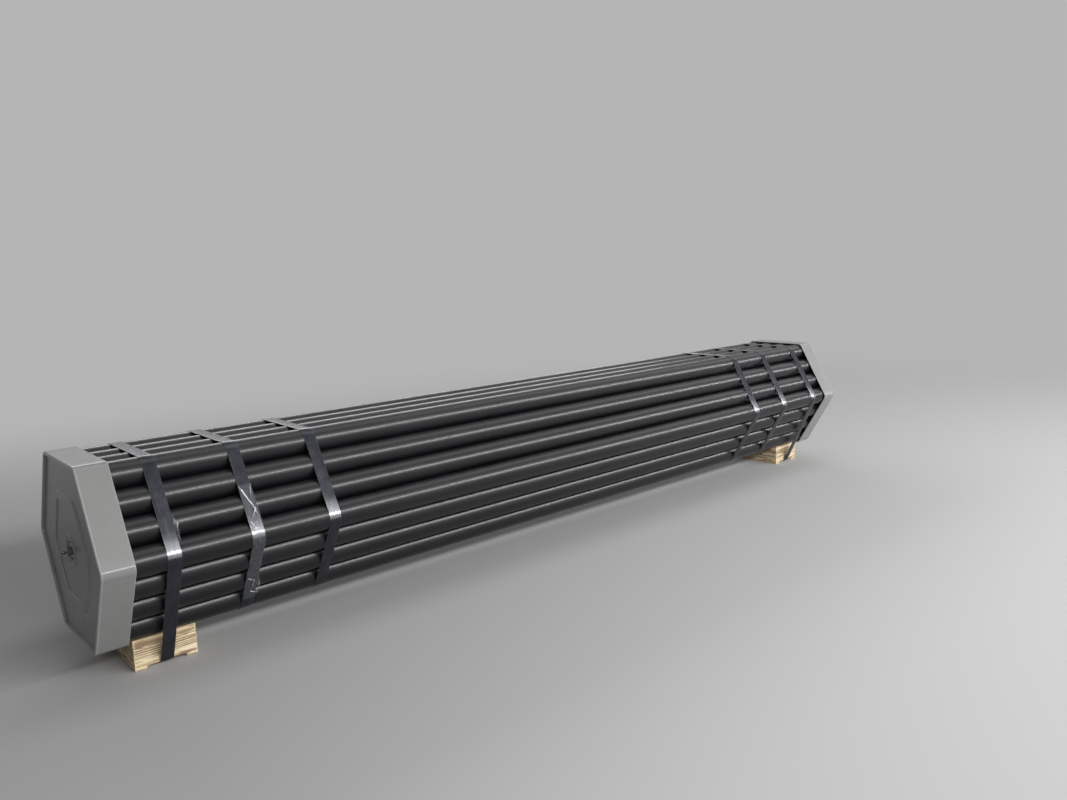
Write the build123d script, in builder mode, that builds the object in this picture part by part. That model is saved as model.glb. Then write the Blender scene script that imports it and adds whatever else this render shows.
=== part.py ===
from build123d import *
import os
from math import cos, radians, sin, sqrt

# Bundle of coated steel pipes, strapped to two laminated bearers and closed by two moulded end caps.
# Millimetres, +X along the pipes, +Z up, origin on the floor under the middle of the bundle.

# Pipes
pipe_diameter = 69.9
pipe_wall = 4.8
pipe_length = 3000.0
pipes_per_side = 4
pipe_gap = 0.3
seat_gap = 0.3

# End caps, each moulded in one piece
cap_wall = 4.5
cap_face = 4.0
cap_depth = 74.0
cap_clearance = 0.6
cap_corner_radius = 22.0
lip_chamfer = 1.5
rim_width = 9.0
rim_height = 6.0
rim_rounding = 4.0
rim_inner_chamfer = 1.5
ring_apothem = 114.0
ring_width = 24.0
ring_height = 3.0
ring_corner_radius = 16.0
seat_clearance = 2.0
seat_depth = 4.0
hub_land = 7.0
hub_width = 10.0
hub_height = 2.5
emboss_chamfer = 0.8

# Tie rod through the middle pipe, with a nut and a washer at each end
rod_diameter = 12.0
rod_clearance = 1.0
rod_projection = 14.0
rod_chamfer = 1.5
thread_gap = 0.15
nut_width = 19.0
nut_height = 10.0
nut_bevel_angle = 30.0
washer_diameter = 37.0
washer_thickness = 3.0

# Steel straps, each measured from the front of the cap at its own end, outermost first
strap_width = 32.0
strap_thickness = 0.9
strap_gap = 0.3
left_strap_offsets = (160.0, 360.0, 567.0)
right_strap_offsets = (155.0, 376.0, 573.0)

# Folded seals that join the two ends of each strap, lying in the valley between two pipes
seal_thickness = 1.0
seal_gap = 0.2
seal_clearance = 0.3
seal_slit = 10.0
notch_width = 5.0
notch_pitch = 20.0

# Laminated bearers, one under each outermost strap
ply_thickness = 3.0
ply_count = 26
bearer_width = 150.0
bearer_length = 230.0
groove_width = 95.0
groove_depth = 6.0
crushed_edge_radius = 4.0

# Clear film along the second strap on the near side, and a scrap of it beside the first
film_thickness = 0.3
film_gap = 0.3
film_overlap = 5.0
film_rows_up = 2
film_rows_down = 3
scrap_width = 10.0
scrap_rows_up = 1.5
scrap_rows_down = -0.5

# Sizes that follow from the ones above
pipe_radius = pipe_diameter / 2
pipe_bore = pipe_radius - pipe_wall
pipe_pitch = pipe_diameter + pipe_gap
row_pitch = pipe_pitch * cos(radians(30))
rows_from_middle = pipes_per_side - 1
corner_distance = rows_from_middle * pipe_pitch
envelope = rows_from_middle * row_pitch + pipe_radius
bearer_height = ply_count * ply_thickness
bundle_z = bearer_height + seat_gap + envelope
cap_inner = envelope + cap_clearance
cap_outer = cap_inner + cap_wall
pipe_end_depth = rim_height + cap_face
overall_length = pipe_length + 2 * pipe_end_depth
plug_radius = pipe_bore - seat_clearance
seat_radius = plug_radius - cap_face
hub_radius = seat_radius + hub_land
nut_depth = rim_height + seat_depth - washer_thickness
rod_tip_depth = nut_depth - nut_height - rod_projection
flap_depth = seal_gap + seal_thickness - strap_gap + seal_clearance
seal_wrap = seal_gap + seal_thickness
seal_length = pipe_pitch - 2 * sqrt(pipe_radius**2 - (pipe_radius - flap_depth) ** 2)
valley = pipe_pitch / 2 * (pipes_per_side % 2)

os.makedirs("parts", exist_ok=True)


def save(piece, name):
    """Labels a finished piece and writes it under that name."""
    piece.part.label = name
    export_step(piece.part, f"parts/{name}.step")


def cross_section(x):
    """Plane across the bundle at x, centred on the middle pipe, with its normal along +X."""
    return Plane(origin=(x, 0, bundle_z), x_dir=(0, 1, 0), z_dir=(1, 0, 0))


def end_plane(side, depth=0.0):
    """Plane at a depth behind the front of a cap, with its normal pointing into the bundle."""
    x = side * (overall_length / 2 - depth)
    return Plane(origin=(x, 0, bundle_z), x_dir=(0, 1, 0), z_dir=(-side, 0, 0))


def hexagon(apothem, rounding):
    """Hexagon with a level top and bottom and rounded corners."""
    with BuildSketch(Plane.XY, mode=Mode.PRIVATE) as outline:
        RegularPolygon(apothem, 6, major_radius=False)
        fillet(outline.vertices(), rounding)
    return outline.sketch


def edges_at(piece, plane, reach):
    """Edges of a piece that lie in a plane across the bundle, up to a height above the middle pipe."""
    x = plane.origin.X
    level = piece.edges().filter_by_position(Axis.X, x - 0.01, x + 0.01)
    return level.filter_by(lambda edge: max(v.Z for v in edge.vertices()) < bundle_z + reach + 0.01)


def pulled_tight(circles, distance):
    """Outline of a band pulled tight at a distance round circles, each a centre and a radius."""
    with BuildSketch(Plane.XY, mode=Mode.PRIVATE) as outline:
        with BuildLine():
            for centre, radius in circles:
                CenterArc(centre, radius + distance, 0, 360)
        make_hull()
    return outline.sketch


def band(circles, distance, thickness):
    """Section of a band of a given thickness pulled tight at a distance round circles."""
    add(pulled_tight(circles, distance + thickness))
    add(pulled_tight(circles, distance), mode=Mode.SUBTRACT)


def near_side(low, high):
    """Keeps the near half of a section between two heights from the middle pipe."""
    with Locations((0, low)):
        Rectangle(2 * corner_distance, high - low, align=(Align.MAX, Align.MIN), mode=Mode.INTERSECT)


# Pipes, one node for each level row, from the bottom up
for row in range(-rows_from_middle, rows_from_middle + 1):
    pipes_in_row = 2 * pipes_per_side - 1 - abs(row)
    with BuildPart() as pipe_row:
        with BuildSketch(cross_section(-pipe_length / 2)):
            with Locations((0, row * row_pitch)):
                with GridLocations(pipe_pitch, 0, pipes_in_row, 1):
                    Circle(pipe_radius)
                    Circle(pipe_bore, mode=Mode.SUBTRACT)
        extrude(amount=pipe_length)
    save(pipe_row, f"pipe_row_{row + rows_from_middle + 1}")

# End caps: a skirt, a raised rim, a face embossed with a ring and a hub, and a seat that plugs a pipe
for side, name in ((-1, "end_cap_left"), (1, "end_cap_right")):
    front = end_plane(side)
    face = end_plane(side, rim_height)
    with BuildPart() as cap:
        with BuildSketch(front):
            add(hexagon(cap_outer, cap_corner_radius))
        extrude(amount=cap_depth)
        ends = cap.faces().sort_by(Axis.X)[::-side]
        fillet(ends[0].edges(), rim_rounding)
        chamfer(ends[-1].edges(), lip_chamfer)

        with BuildSketch(front):
            add(hexagon(cap_outer - rim_width, cap_corner_radius - rim_width))
        extrude(amount=rim_height, mode=Mode.SUBTRACT)
        chamfer(edges_at(cap, front, cap_outer - rim_width), rim_inner_chamfer)

        with BuildSketch(end_plane(side, pipe_end_depth)):
            add(hexagon(cap_inner, cap_corner_radius - cap_wall))
        extrude(amount=cap_depth - pipe_end_depth, mode=Mode.SUBTRACT)

        with BuildSketch(face):
            add(hexagon(ring_apothem + ring_width, ring_corner_radius + ring_width))
            add(hexagon(ring_apothem, ring_corner_radius), mode=Mode.SUBTRACT)
        extrude(amount=-ring_height)
        ring_top = end_plane(side, rim_height - ring_height)
        chamfer(edges_at(cap, ring_top, ring_apothem + ring_width), emboss_chamfer)

        with BuildSketch(face):
            Circle(hub_radius + hub_width)
            Circle(hub_radius, mode=Mode.SUBTRACT)
        extrude(amount=-hub_height)
        hub_top = end_plane(side, rim_height - hub_height)
        chamfer(edges_at(cap, hub_top, hub_radius + hub_width), emboss_chamfer)

        with BuildSketch(face):
            Circle(plug_radius)
        extrude(amount=seat_depth + cap_face)
        with BuildSketch(face):
            Circle(seat_radius)
        extrude(amount=seat_depth, mode=Mode.SUBTRACT)
        with BuildSketch(end_plane(side, rim_height + seat_depth)):
            Circle(rod_diameter / 2 + rod_clearance)
        extrude(amount=cap_face, mode=Mode.SUBTRACT)
    save(cap, name)

# Tie rod
with BuildPart() as tie_rod:
    with BuildSketch(end_plane(-1, rod_tip_depth)):
        Circle(rod_diameter / 2)
    extrude(amount=overall_length - 2 * rod_tip_depth)
    chamfer(tie_rod.edges().filter_by(GeomType.CIRCLE), rod_chamfer)
save(tie_rod, "tie_rod")

# Washers seated in the caps
with BuildPart() as washers:
    for side in (-1, 1):
        with BuildSketch(end_plane(side, nut_depth)):
            Circle(washer_diameter / 2)
            Circle(rod_diameter / 2 + rod_clearance, mode=Mode.SUBTRACT)
        extrude(amount=washer_thickness)
save(washers, "washers")

# Nuts, with their outer corners bevelled
with BuildPart() as nuts:
    for side in (-1, 1):
        outer_end = end_plane(side, nut_depth - nut_height)
        with BuildSketch(outer_end):
            RegularPolygon(nut_width / 2, 6, major_radius=False)
            Circle(rod_diameter / 2 + thread_gap, mode=Mode.SUBTRACT)
        nut = extrude(amount=nut_height, mode=Mode.PRIVATE)
        with BuildSketch(outer_end):
            Circle(nut_width / 2)
        bevel = extrude(amount=nut_height, taper=nut_bevel_angle - 90, mode=Mode.PRIVATE)
        add(nut & bevel)
save(nuts, "nuts")

# Circles that the straps bend round: the six corner pipes, or the upper four and the bearer's lower edges
bundle_loop = []
for turn in range(0, 360, 60):
    centre = (corner_distance * cos(radians(turn)), corner_distance * sin(radians(turn)))
    bundle_loop.append((centre, pipe_radius))
bearer_loop = bundle_loop[:4]
for side in (-1, 1):
    edge_y = side * (bearer_length / 2 - crushed_edge_radius)
    edge_z = groove_depth + crushed_edge_radius - bundle_z
    bearer_loop.append(((edge_y, edge_z), crushed_edge_radius))

# Straps and their seals, numbered from left to right
straps = []
for offset in left_strap_offsets:
    straps.append((-overall_length / 2 + offset, offset == left_strap_offsets[0]))
for offset in right_strap_offsets[::-1]:
    straps.append((overall_length / 2 - offset, offset == right_strap_offsets[0]))

outward = Vector(0, cos(radians(30)), sin(radians(30)))
uphill = Vector(0, -sin(radians(30)), cos(radians(30)))
for number, (x, holds_bearer) in enumerate(straps, start=1):
    with BuildPart() as strap:
        with BuildSketch(cross_section(x - strap_width / 2)):
            band(bearer_loop if holds_bearer else bundle_loop, strap_gap, strap_thickness)
        extrude(amount=strap_width)
    save(strap, f"strap_{number}")

    on_strap = outward * (envelope + strap_gap + strap_thickness / 2) + uphill * valley
    middle = Vector(x, 0, bundle_z) + on_strap
    with BuildPart() as seal:
        with BuildSketch(Plane(origin=middle, x_dir=(1, 0, 0), z_dir=uphill)):
            Rectangle(strap_width + 2 * seal_wrap, strap_thickness + 2 * seal_wrap)
            Rectangle(strap_width + 2 * seal_gap, strap_thickness + 2 * seal_gap, mode=Mode.SUBTRACT)
            with Locations((0, -strap_thickness / 2 - seal_gap)):
                Rectangle(seal_slit, seal_thickness, align=(Align.CENTER, Align.MAX), mode=Mode.SUBTRACT)
        extrude(amount=seal_length / 2, both=True)
        with BuildSketch(Plane(origin=middle, x_dir=(1, 0, 0), z_dir=outward)):
            with GridLocations(strap_width + 2 * seal_wrap, notch_pitch, 2, 2):
                Rectangle(notch_width, notch_width, rotation=45)
        extrude(amount=strap_thickness + seal_wrap, both=True, mode=Mode.SUBTRACT)
    save(seal, f"strap_seal_{number}")

# Bearers, with a groove underneath that keeps the strap off the floor
for name, strap_x in (("bearer_left", straps[0][0]), ("bearer_right", straps[-1][0])):
    with BuildPart() as bearer:
        with BuildSketch(Plane.XZ):
            with Locations((strap_x, 0)):
                Rectangle(bearer_width, bearer_height, align=(Align.CENTER, Align.MIN))
                Rectangle(groove_width, groove_depth, align=(Align.CENTER, Align.MIN), mode=Mode.SUBTRACT)
        extrude(amount=bearer_length / 2, both=True)
        groove_roof = bearer.faces().filter_by(Axis.Z).sort_by(Axis.Z)[-2]
        fillet(groove_roof.edges().filter_by(Axis.X), crushed_edge_radius)
    save(bearer, name)

# Film lying on the outer face of the second strap
with BuildPart() as film:
    with BuildSketch(cross_section(straps[1][0] - strap_width / 2 - film_overlap)):
        band(bundle_loop, strap_gap + strap_thickness + film_gap, film_thickness)
        near_side(-film_rows_down * row_pitch, film_rows_up * row_pitch)
    extrude(amount=strap_width + 2 * film_overlap)
save(film, "film_strip")

# Scrap of film lying on the pipes beside the first strap
with BuildPart() as scrap:
    with BuildSketch(cross_section(straps[0][0] + strap_width / 2 + film_gap)):
        band(bundle_loop, film_gap, film_thickness)
        near_side(-scrap_rows_down * row_pitch, scrap_rows_up * row_pitch)
    extrude(amount=scrap_width)
save(scrap, "film_scrap")
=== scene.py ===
"""Looks of a strapped bundle of coated steel pipes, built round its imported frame."""

import logging
import math
from dataclasses import dataclass, field
from enum import Enum
from typing import Callable, Iterable, Sequence

import bpy
from mathutils import Matrix, Vector, noise


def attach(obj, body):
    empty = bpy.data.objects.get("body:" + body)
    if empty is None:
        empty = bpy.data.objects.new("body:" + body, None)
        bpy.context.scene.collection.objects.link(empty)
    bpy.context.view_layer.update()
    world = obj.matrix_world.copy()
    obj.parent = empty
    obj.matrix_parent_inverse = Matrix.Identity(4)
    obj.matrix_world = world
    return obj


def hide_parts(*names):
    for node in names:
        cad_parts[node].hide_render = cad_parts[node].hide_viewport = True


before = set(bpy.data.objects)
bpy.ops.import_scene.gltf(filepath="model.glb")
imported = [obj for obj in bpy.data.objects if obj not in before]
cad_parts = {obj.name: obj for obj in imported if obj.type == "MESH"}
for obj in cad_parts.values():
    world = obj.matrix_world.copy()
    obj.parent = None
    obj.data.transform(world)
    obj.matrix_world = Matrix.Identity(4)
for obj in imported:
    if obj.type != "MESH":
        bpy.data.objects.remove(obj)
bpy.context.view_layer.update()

Colour = tuple[float, float, float]
Point = tuple[float, float]
Circle = tuple[float, float, float]
Ring = list[Vector]
Faces = list[list[int]]
Socket = bpy.types.NodeSocket
Tree = bpy.types.NodeTree

CORNER_TURN = 60
ALONG_X = (0.0, math.pi / 2, 0.0)
PLY_FILL = 0.995
TOUCH = 1e-6

log = logging.getLogger("pipe bundle")


class Slot(Enum):
    """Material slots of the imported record."""

    COATING = "pipe_coating"
    CAP = "cap_plastic"
    STRAP = "strap_steel"
    WOOD = "bearer_wood"
    ZINC = "zinc_steel"
    FILM = "clear_film"


class End(Enum):
    """The two ends of the bundle, by the direction in which each faces along X."""

    LEFT = -1
    RIGHT = 1


class Outline(Enum):
    """Outline of an end cap at a station of its section."""

    CIRCLE = "circle"
    HEXAGON = "hexagon"


@dataclass(frozen=True)
class BundleSizes:
    """Sizes of the whole bundle, in metres, as in the part's source."""

    pipe_radius: float = 0.03495
    pipe_wall: float = 0.0048
    pipe_length: float = 3.0
    pipe_pitch: float = 0.0702
    rows_from_middle: int = 3
    cap_reach: float = 0.010
    bearer_height: float = 0.078
    seat_gap: float = 0.0003

    @property
    def row_pitch(self) -> float:
        """Height between two rows of pipes."""
        return self.pipe_pitch * math.cos(math.radians(CORNER_TURN / 2))

    @property
    def envelope(self) -> float:
        """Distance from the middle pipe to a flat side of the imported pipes."""
        return self.rows_from_middle * self.row_pitch + self.pipe_radius

    @property
    def axis_height(self) -> float:
        """Height of the middle pipe above the floor."""
        return self.bearer_height + self.seat_gap + self.envelope

    @property
    def half_length(self) -> float:
        """Distance from the middle of the bundle to the front of a cap."""
        return self.pipe_length / 2 + self.cap_reach


SIZES = BundleSizes()


@dataclass
class Wiring:
    """Adds nodes to a tree and joins them."""

    tree: Tree

    @classmethod
    def cleared(cls, owner: bpy.types.ID) -> "Wiring":
        """Starts the node tree of a material or a world with nothing in it."""
        owner.use_nodes = True
        owner.node_tree.nodes.clear()
        return cls(owner.node_tree)

    def feed(self, node: bpy.types.Node, inputs: dict) -> None:
        """Sets a node's inputs, or joins them to their sources, by name or index."""
        for key, value in inputs.items():
            if isinstance(value, Socket):
                self.tree.links.new(value, node.inputs[key])
            else:
                node.inputs[key].default_value = value

    def put(self, kind: str, inputs: dict | None = None, **settings: object) -> bpy.types.Node:
        """Adds one node.

        Args:
            kind: Blender's name of the node type.
            inputs: Value or source socket for each input, by name or index.
            settings: Properties of the node itself.

        Returns:
            The new node.
        """
        node = self.tree.nodes.new(kind)
        for name, value in settings.items():
            setattr(node, name, value)
        self.feed(node, inputs or {})
        return node

    def out(self, kind: str, inputs: dict | None = None, **settings: object) -> Socket:
        """Adds one node and returns its first output."""
        return self.put(kind, inputs, **settings).outputs[0]

    def math(self, operation: str, *values: object, clamp: bool = False) -> Socket:
        """Adds a math node and returns its output."""
        return self.out("ShaderNodeMath", dict(enumerate(values)), operation=operation, use_clamp=clamp)

    def times(self, first: object, second: object, clamp: bool = False) -> Socket:
        """Product of two numbers."""
        return self.math("MULTIPLY", first, second, clamp=clamp)

    def plus(self, first: object, second: object, clamp: bool = False) -> Socket:
        """Sum of two numbers."""
        return self.math("ADD", first, second, clamp=clamp)

    def minus(self, first: object, second: object) -> Socket:
        """First number less the second."""
        return self.math("SUBTRACT", first, second)

    def scaled(self, value: object, by: float, plus: object) -> Socket:
        """A number times one and plus another."""
        return self.math("MULTIPLY_ADD", value, by, plus)

    def span(self, value: object, low: float, high: float) -> Socket:
        """Rises smoothly from 0 to 1 while a value goes from low to high."""
        return self.out("ShaderNodeMapRange", {0: value, 1: low, 2: high}, interpolation_type="SMOOTHSTEP")

    def vector(self, operation: str, first: object, second: object) -> Socket:
        """Adds a vector math node and returns its output."""
        return self.out("ShaderNodeVectorMath", {0: first, 1: second}, operation=operation)

    def joined(self, x: object = 0.0, y: object = 0.0, z: object = 0.0) -> Socket:
        """Joins three numbers in a vector."""
        return self.out("ShaderNodeCombineXYZ", {0: x, 1: y, 2: z})

    def split(self, vector: Socket) -> Sequence[Socket]:
        """The three numbers of a vector."""
        return self.put("ShaderNodeSeparateXYZ", {0: vector}).outputs[:3]

    def noise(self, place: object, scale: object, detail: float, **more: float) -> Socket:
        """Adds a noise texture and returns its value; more of its inputs are given by name."""
        return self.out("ShaderNodeTexNoise", {"Vector": place, "Scale": scale, "Detail": detail, **more})

    def blend(self, factor: object, first: object, second: object) -> Socket:
        """Mixes two colours by a factor and returns the mix."""
        ends = [value if isinstance(value, Socket) else (*value, 1.0) for value in (first, second)]
        return self.put("ShaderNodeMix", {0: factor, 6: ends[0], 7: ends[1]}, data_type="RGBA").outputs[2]

    def coats(self, base: object, *layers: tuple[Socket, object, Colour]) -> Socket:
        """Lays colours over a base one by one.

        Args:
            base: Colour that they lie on.
            layers: For each its mask, its strength and its colour.

        Returns:
            The colour that comes of it.
        """
        for mask, strength, colour in layers:
            base = self.blend(self.times(mask, strength), base, colour)
        return base

    def bump(self, *layers: tuple[Socket, float]) -> Socket:
        """Stacks bump layers, each a height and a depth in metres, and returns the normal."""
        below: dict[str, Socket] = {}
        for height, depth in layers:
            inputs = {"Height": height, "Distance": depth, "Strength": 1.0, **below}
            below = {"Normal": self.out("ShaderNodeBump", inputs)}
        return below["Normal"]

    def place(self) -> Socket:
        """Object coordinates, in metres in the shared frame."""
        return self.put("ShaderNodeTexCoord").outputs["Object"]

    def attribute(self, name: str) -> Socket:
        """A number stored on the mesh."""
        return self.put("ShaderNodeAttribute", attribute_name=name).outputs["Fac"]

    def mark(self, geometry: Socket, name: str, value: Socket, domain: str) -> Socket:
        """Stores a number on a geometry's points or instances and returns the geometry."""
        return self.out("GeometryNodeStoreNamedAttribute", {"Geometry": geometry, "Name": name, "Value": value},
                        data_type="FLOAT", domain=domain)


@dataclass(frozen=True)
class Marks:
    """Scratches or rubs of a surface.

    Attributes:
        stretch: How fine they are along each axis.
        amount: How much of the surface they take.
        tint: How far they change its colour.
        depth: How deep they are, in metres.
    """

    stretch: tuple[float, float, float]
    amount: float
    tint: float
    depth: float = 0.0


@dataclass(frozen=True)
class Tint:
    """A colour laid over a surface where a mask rises from one value to another.

    Attributes:
        low: Value of the mask at which the colour starts to show.
        high: Value from which it shows in full.
        strength: How far it then covers what is under it.
        colour: The colour itself.
    """

    low: float
    high: float
    strength: float
    colour: Colour


@dataclass
class Effects:
    """Effects that several finishes share, placed in one material; each is a shader group that is built once.

    Attributes:
        wires: Wiring of the material.
        built: The groups that are already built, by name.
        scratch_top: Height of the noise that all scratches reach; scratch_fade is the width of their soft edge.
        facing_up: How far up a face looks where dust starts to lie on it, and where it lies in full.
        grainy: Values of the noise between which the dust's grains come up.
        chipped: Values of edge and noise together between which the wear comes up.
    """

    wires: Wiring
    built: dict[str, Tree]
    scratch_top: float = 0.78
    scratch_fade: float = 0.10
    facing_up: Point = (0.1, 0.95)
    grainy: Point = (0.35, 0.75)
    chipped: Point = (0.55, 1.0)

    def __post_init__(self) -> None:
        """Finds the place on the bundle."""
        self.place = self.wires.place()

    def group(self, name: str, output: str, fill: Callable[[Wiring, Sequence[Socket]], Socket], inputs: dict) -> Socket:
        """Places a group in the material, and builds it first where it is new.

        Args:
            name: Name of the group.
            output: Name of its output.
            fill: Wires the inside, given its wiring and the group's inputs, and returns the result.
            inputs: This material's own value or source for each of the group's inputs, by name.

        Returns:
            The group's output in the material.
        """
        if name not in self.built:
            tree = bpy.data.node_groups.new(name, "ShaderNodeTree")
            for label in inputs:
                kind = "NodeSocketVector" if label in ("Place", "Stretch") else "NodeSocketFloat"
                tree.interface.new_socket(label, in_out="INPUT", socket_type=kind)
            tree.interface.new_socket(output, in_out="OUTPUT", socket_type="NodeSocketFloat")
            inner = Wiring(tree)
            result = fill(inner, inner.put("NodeGroupInput").outputs)
            inner.put("NodeGroupOutput", {output: result})
            self.built[name] = tree
        return self.wires.out("ShaderNodeGroup", inputs, node_tree=self.built[name])

    def mottle(self, scale: float, contrast: float) -> Socket:
        """Cloudy change of tone from 0 to 1."""

        def fill(inner: Wiring, given: Sequence[Socket]) -> Socket:
            """Wires the inside."""
            low = inner.times(given["Contrast"], 0.5)
            broad = inner.noise(given["Place"], given["Scale"], 6.0, Roughness=0.6)
            return inner.out("ShaderNodeMapRange", {0: broad, 1: low, 2: inner.minus(1.0, low)})

        return self.group("mottle", "Tone", fill, {"Place": self.place, "Scale": scale, "Contrast": contrast})

    def scratches(self, marks: Marks, place: Socket | None = None) -> Socket:
        """Fine scratches drawn out along one direction, from 0 to 1."""

        def fill(inner: Wiring, given: Sequence[Socket]) -> Socket:
            """Wires the inside."""
            drawn = inner.vector("MULTIPLY", given["Place"], given["Stretch"])
            lines = inner.noise(drawn, 1.0, 3.0, Roughness=0.55)
            low = inner.minus(self.scratch_top, given["Amount"])
            return inner.out("ShaderNodeMapRange", {0: lines, 1: low, 2: inner.plus(low, self.scratch_fade)})

        where = self.place if place is None else place
        inputs = {"Place": where, "Stretch": marks.stretch, "Amount": marks.amount}
        return self.group("fine scratches", "Mask", fill, inputs)

    def dust(self, amount: float, scale: float) -> Socket:
        """Dust that has settled on what faces up, from 0 to 1."""

        def fill(inner: Wiring, given: Sequence[Socket]) -> Socket:
            """Wires the inside."""
            up = inner.split(inner.put("ShaderNodeNewGeometry").outputs["Normal"])[2]
            grains = inner.noise(given["Place"], given["Scale"], 8.0, Roughness=0.75)
            settled = inner.times(inner.span(up, *self.facing_up), inner.span(grains, *self.grainy))
            return inner.times(settled, given["Amount"])

        return self.group("settled dust", "Mask", fill, {"Place": self.place, "Amount": amount, "Scale": scale})

    def worn_edge(self, edge: Socket, scale: float) -> Socket:
        """Broken wear along an edge that the mesh marks, from 0 to 1."""

        def fill(inner: Wiring, given: Sequence[Socket]) -> Socket:
            """Wires the inside."""
            chips = inner.minus(inner.noise(given["Place"], given["Scale"], 5.0, Roughness=0.7), 0.5)
            return inner.span(inner.plus(given["Edge"], chips), *self.chipped)

        return self.group("worn edge", "Mask", fill, {"Edge": edge, "Place": self.place, "Scale": scale})

    def grain(self, scale: float) -> Socket:
        """Fine even grain of a moulded or painted surface, as a height."""

        def fill(inner: Wiring, given: Sequence[Socket]) -> Socket:
            """Wires the inside."""
            return inner.noise(given["Place"], given["Scale"], 2.0)

        return self.group("surface grain", "Height", fill, {"Place": self.place, "Scale": scale})

    def tinted(self, mask: Socket, tint: Tint) -> tuple[Socket, float, Colour]:
        """A tint's layer for Wiring.coats, over the tint's range of a mask."""
        return self.wires.span(mask, tint.low, tint.high), tint.strength, tint.colour


@dataclass(frozen=True)
class Finish:
    """A surface finish with its procedural material."""

    name: str
    slot: Slot

    def material(self, built: dict[str, Tree]) -> bpy.types.Material:
        """Builds the material, with the shader groups that are already built and any new one."""
        material = bpy.data.materials.new(self.name)
        wires = Wiring.cleared(material)
        shader = wires.put("ShaderNodeBsdfPrincipled")
        wires.put("ShaderNodeOutputMaterial", {"Surface": shader.outputs[0]})
        wires.feed(shader, self.look(wires, Effects(wires, built)))
        return material

    def look(self, wires: Wiring, effects: Effects) -> dict[str, object]:
        """Builds the finish.

        Args:
            wires: Wiring of the material.
            effects: Shared effects, ready for this material.

        Returns:
            Value or source of each of the shader's inputs, by name.
        """
        raise NotImplementedError


@dataclass(frozen=True)
class PipeCoating(Finish):
    """Black coating of the pipes, satin, with drawing marks along them, rubs and dust.

    Attributes:
        peel: Depth of the coating's fine texture, in metres.
        cloud_share: How much of the tone is clouding; the rest is each pipe's own.
        scuff_roughness: How much rougher the scuffs are; dust_roughness says the same of dust.
    """

    name: str = "black pipe coating"
    slot: Slot = Slot.COATING
    deep: Colour = (0.0035, 0.0036, 0.0044)
    worn: Colour = (0.0080, 0.0081, 0.0100)
    rubbed: Colour = (0.055, 0.055, 0.063)
    dusty: Colour = (0.09, 0.09, 0.095)
    drawing: Marks = Marks((2.2, 420.0, 420.0), amount=0.17, tint=0.18, depth=0.000008)
    rubbing: Marks = Marks((26.0, 150.0, 150.0), amount=0.09, tint=0.35, depth=0.000012)
    peel: float = 0.000018
    cloud_share: float = 0.6
    scuff_roughness: float = 0.15
    dust_roughness: float = 0.5

    def look(self, wires: Wiring, effects: Effects) -> dict[str, object]:
        """Builds the coating with a tone for each pipe, lengthwise marks, scuffs and dust."""
        cloud = effects.mottle(scale=7.0, contrast=0.55)
        tone = wires.plus(wires.times(cloud, self.cloud_share),
                          wires.times(wires.attribute("pipe_tone"), 1 - self.cloud_share))
        drawn, scuffs = effects.scratches(self.drawing), effects.scratches(self.rubbing)
        dust = effects.dust(amount=0.10, scale=45.0)
        colour = wires.coats(wires.blend(tone, self.deep, self.worn), (drawn, self.drawing.tint, self.rubbed),
                             (scuffs, self.rubbing.tint, self.rubbed), (dust, 1.0, self.dusty))
        rough = wires.plus(wires.scaled(tone, by=0.08, plus=0.33), wires.times(scuffs, self.scuff_roughness))
        rough = wires.plus(rough, wires.times(dust, self.dust_roughness), clamp=True)
        normal = wires.bump((drawn, self.drawing.depth), (scuffs, self.rubbing.depth),
                            (effects.grain(scale=420.0), self.peel))
        return {"Base Color": colour, "Roughness": rough, "Normal": normal, "Coat Weight": 0.28,
                "Coat Roughness": 0.23, "Specular IOR Level": 0.33}


@dataclass(frozen=True)
class CapPlastic(Finish):
    """Grey moulded plastic of the end caps, satin, scuffed, with a painted highlight in a lighter colour along its
    edges and chips of wear on them.

    Attributes:
        texture: Depth of the moulded texture, in metres.
        edge_highlight: How far the lighter colour is laid all along an edge as a painted highlight; chip_rub is what
            its chips of wear add.
        griminess: Strength of the grime; scuff_roughness says how much rougher the scuffs are.
    """

    name: str = "grey cap plastic"
    slot: Slot = Slot.CAP
    light: Colour = (0.262, 0.262, 0.257)
    dark: Colour = (0.244, 0.246, 0.243)
    scuffed_and_edge_highlight: Colour = (0.45, 0.45, 0.44)
    grime: Colour = (0.12, 0.115, 0.105)
    dusty: Colour = (0.40, 0.385, 0.36)
    scuffing: Marks = Marks((90.0, 22.0, 160.0), amount=0.075, tint=0.10, depth=0.00002)
    texture: float = 0.00005
    edge_highlight: float = 0.54
    chip_rub: float = 0.14
    griminess: float = 0.03
    scuff_roughness: float = 0.2

    def look(self, wires: Wiring, effects: Effects) -> dict[str, object]:
        """Builds the plastic with mottling, scuffs, painted highlights and chips of wear along the edges, grime and
        dust.
        """
        scuffs = effects.scratches(self.scuffing)
        edge = wires.attribute("edge")
        chips = wires.times(effects.worn_edge(edge, scale=130.0), self.chip_rub)
        # Painted highlight: a lighter colour is laid evenly all along the marked edges, with chips of wear added to it.
        rubbed = wires.scaled(edge, by=self.edge_highlight, plus=chips)
        colour = wires.coats(wires.blend(effects.mottle(scale=5.0, contrast=0.6), self.dark, self.light),
                             (scuffs, self.scuffing.tint, self.scuffed_and_edge_highlight), (rubbed, 1.0, self.scuffed_and_edge_highlight),
                             (effects.mottle(scale=38.0, contrast=0.95), self.griminess, self.grime),
                             (effects.dust(amount=0.07, scale=30.0), 1.0, self.dusty))
        rough = wires.scaled(effects.mottle(scale=14.0, contrast=0.5), by=0.08, plus=0.19)
        rough = wires.plus(rough, wires.times(scuffs, self.scuff_roughness), clamp=True)
        normal = wires.bump((effects.grain(scale=750.0), self.texture), (scuffs, self.scuffing.depth))
        return {"Base Color": colour, "Roughness": rough, "Normal": normal, "Specular IOR Level": 0.38}


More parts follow.
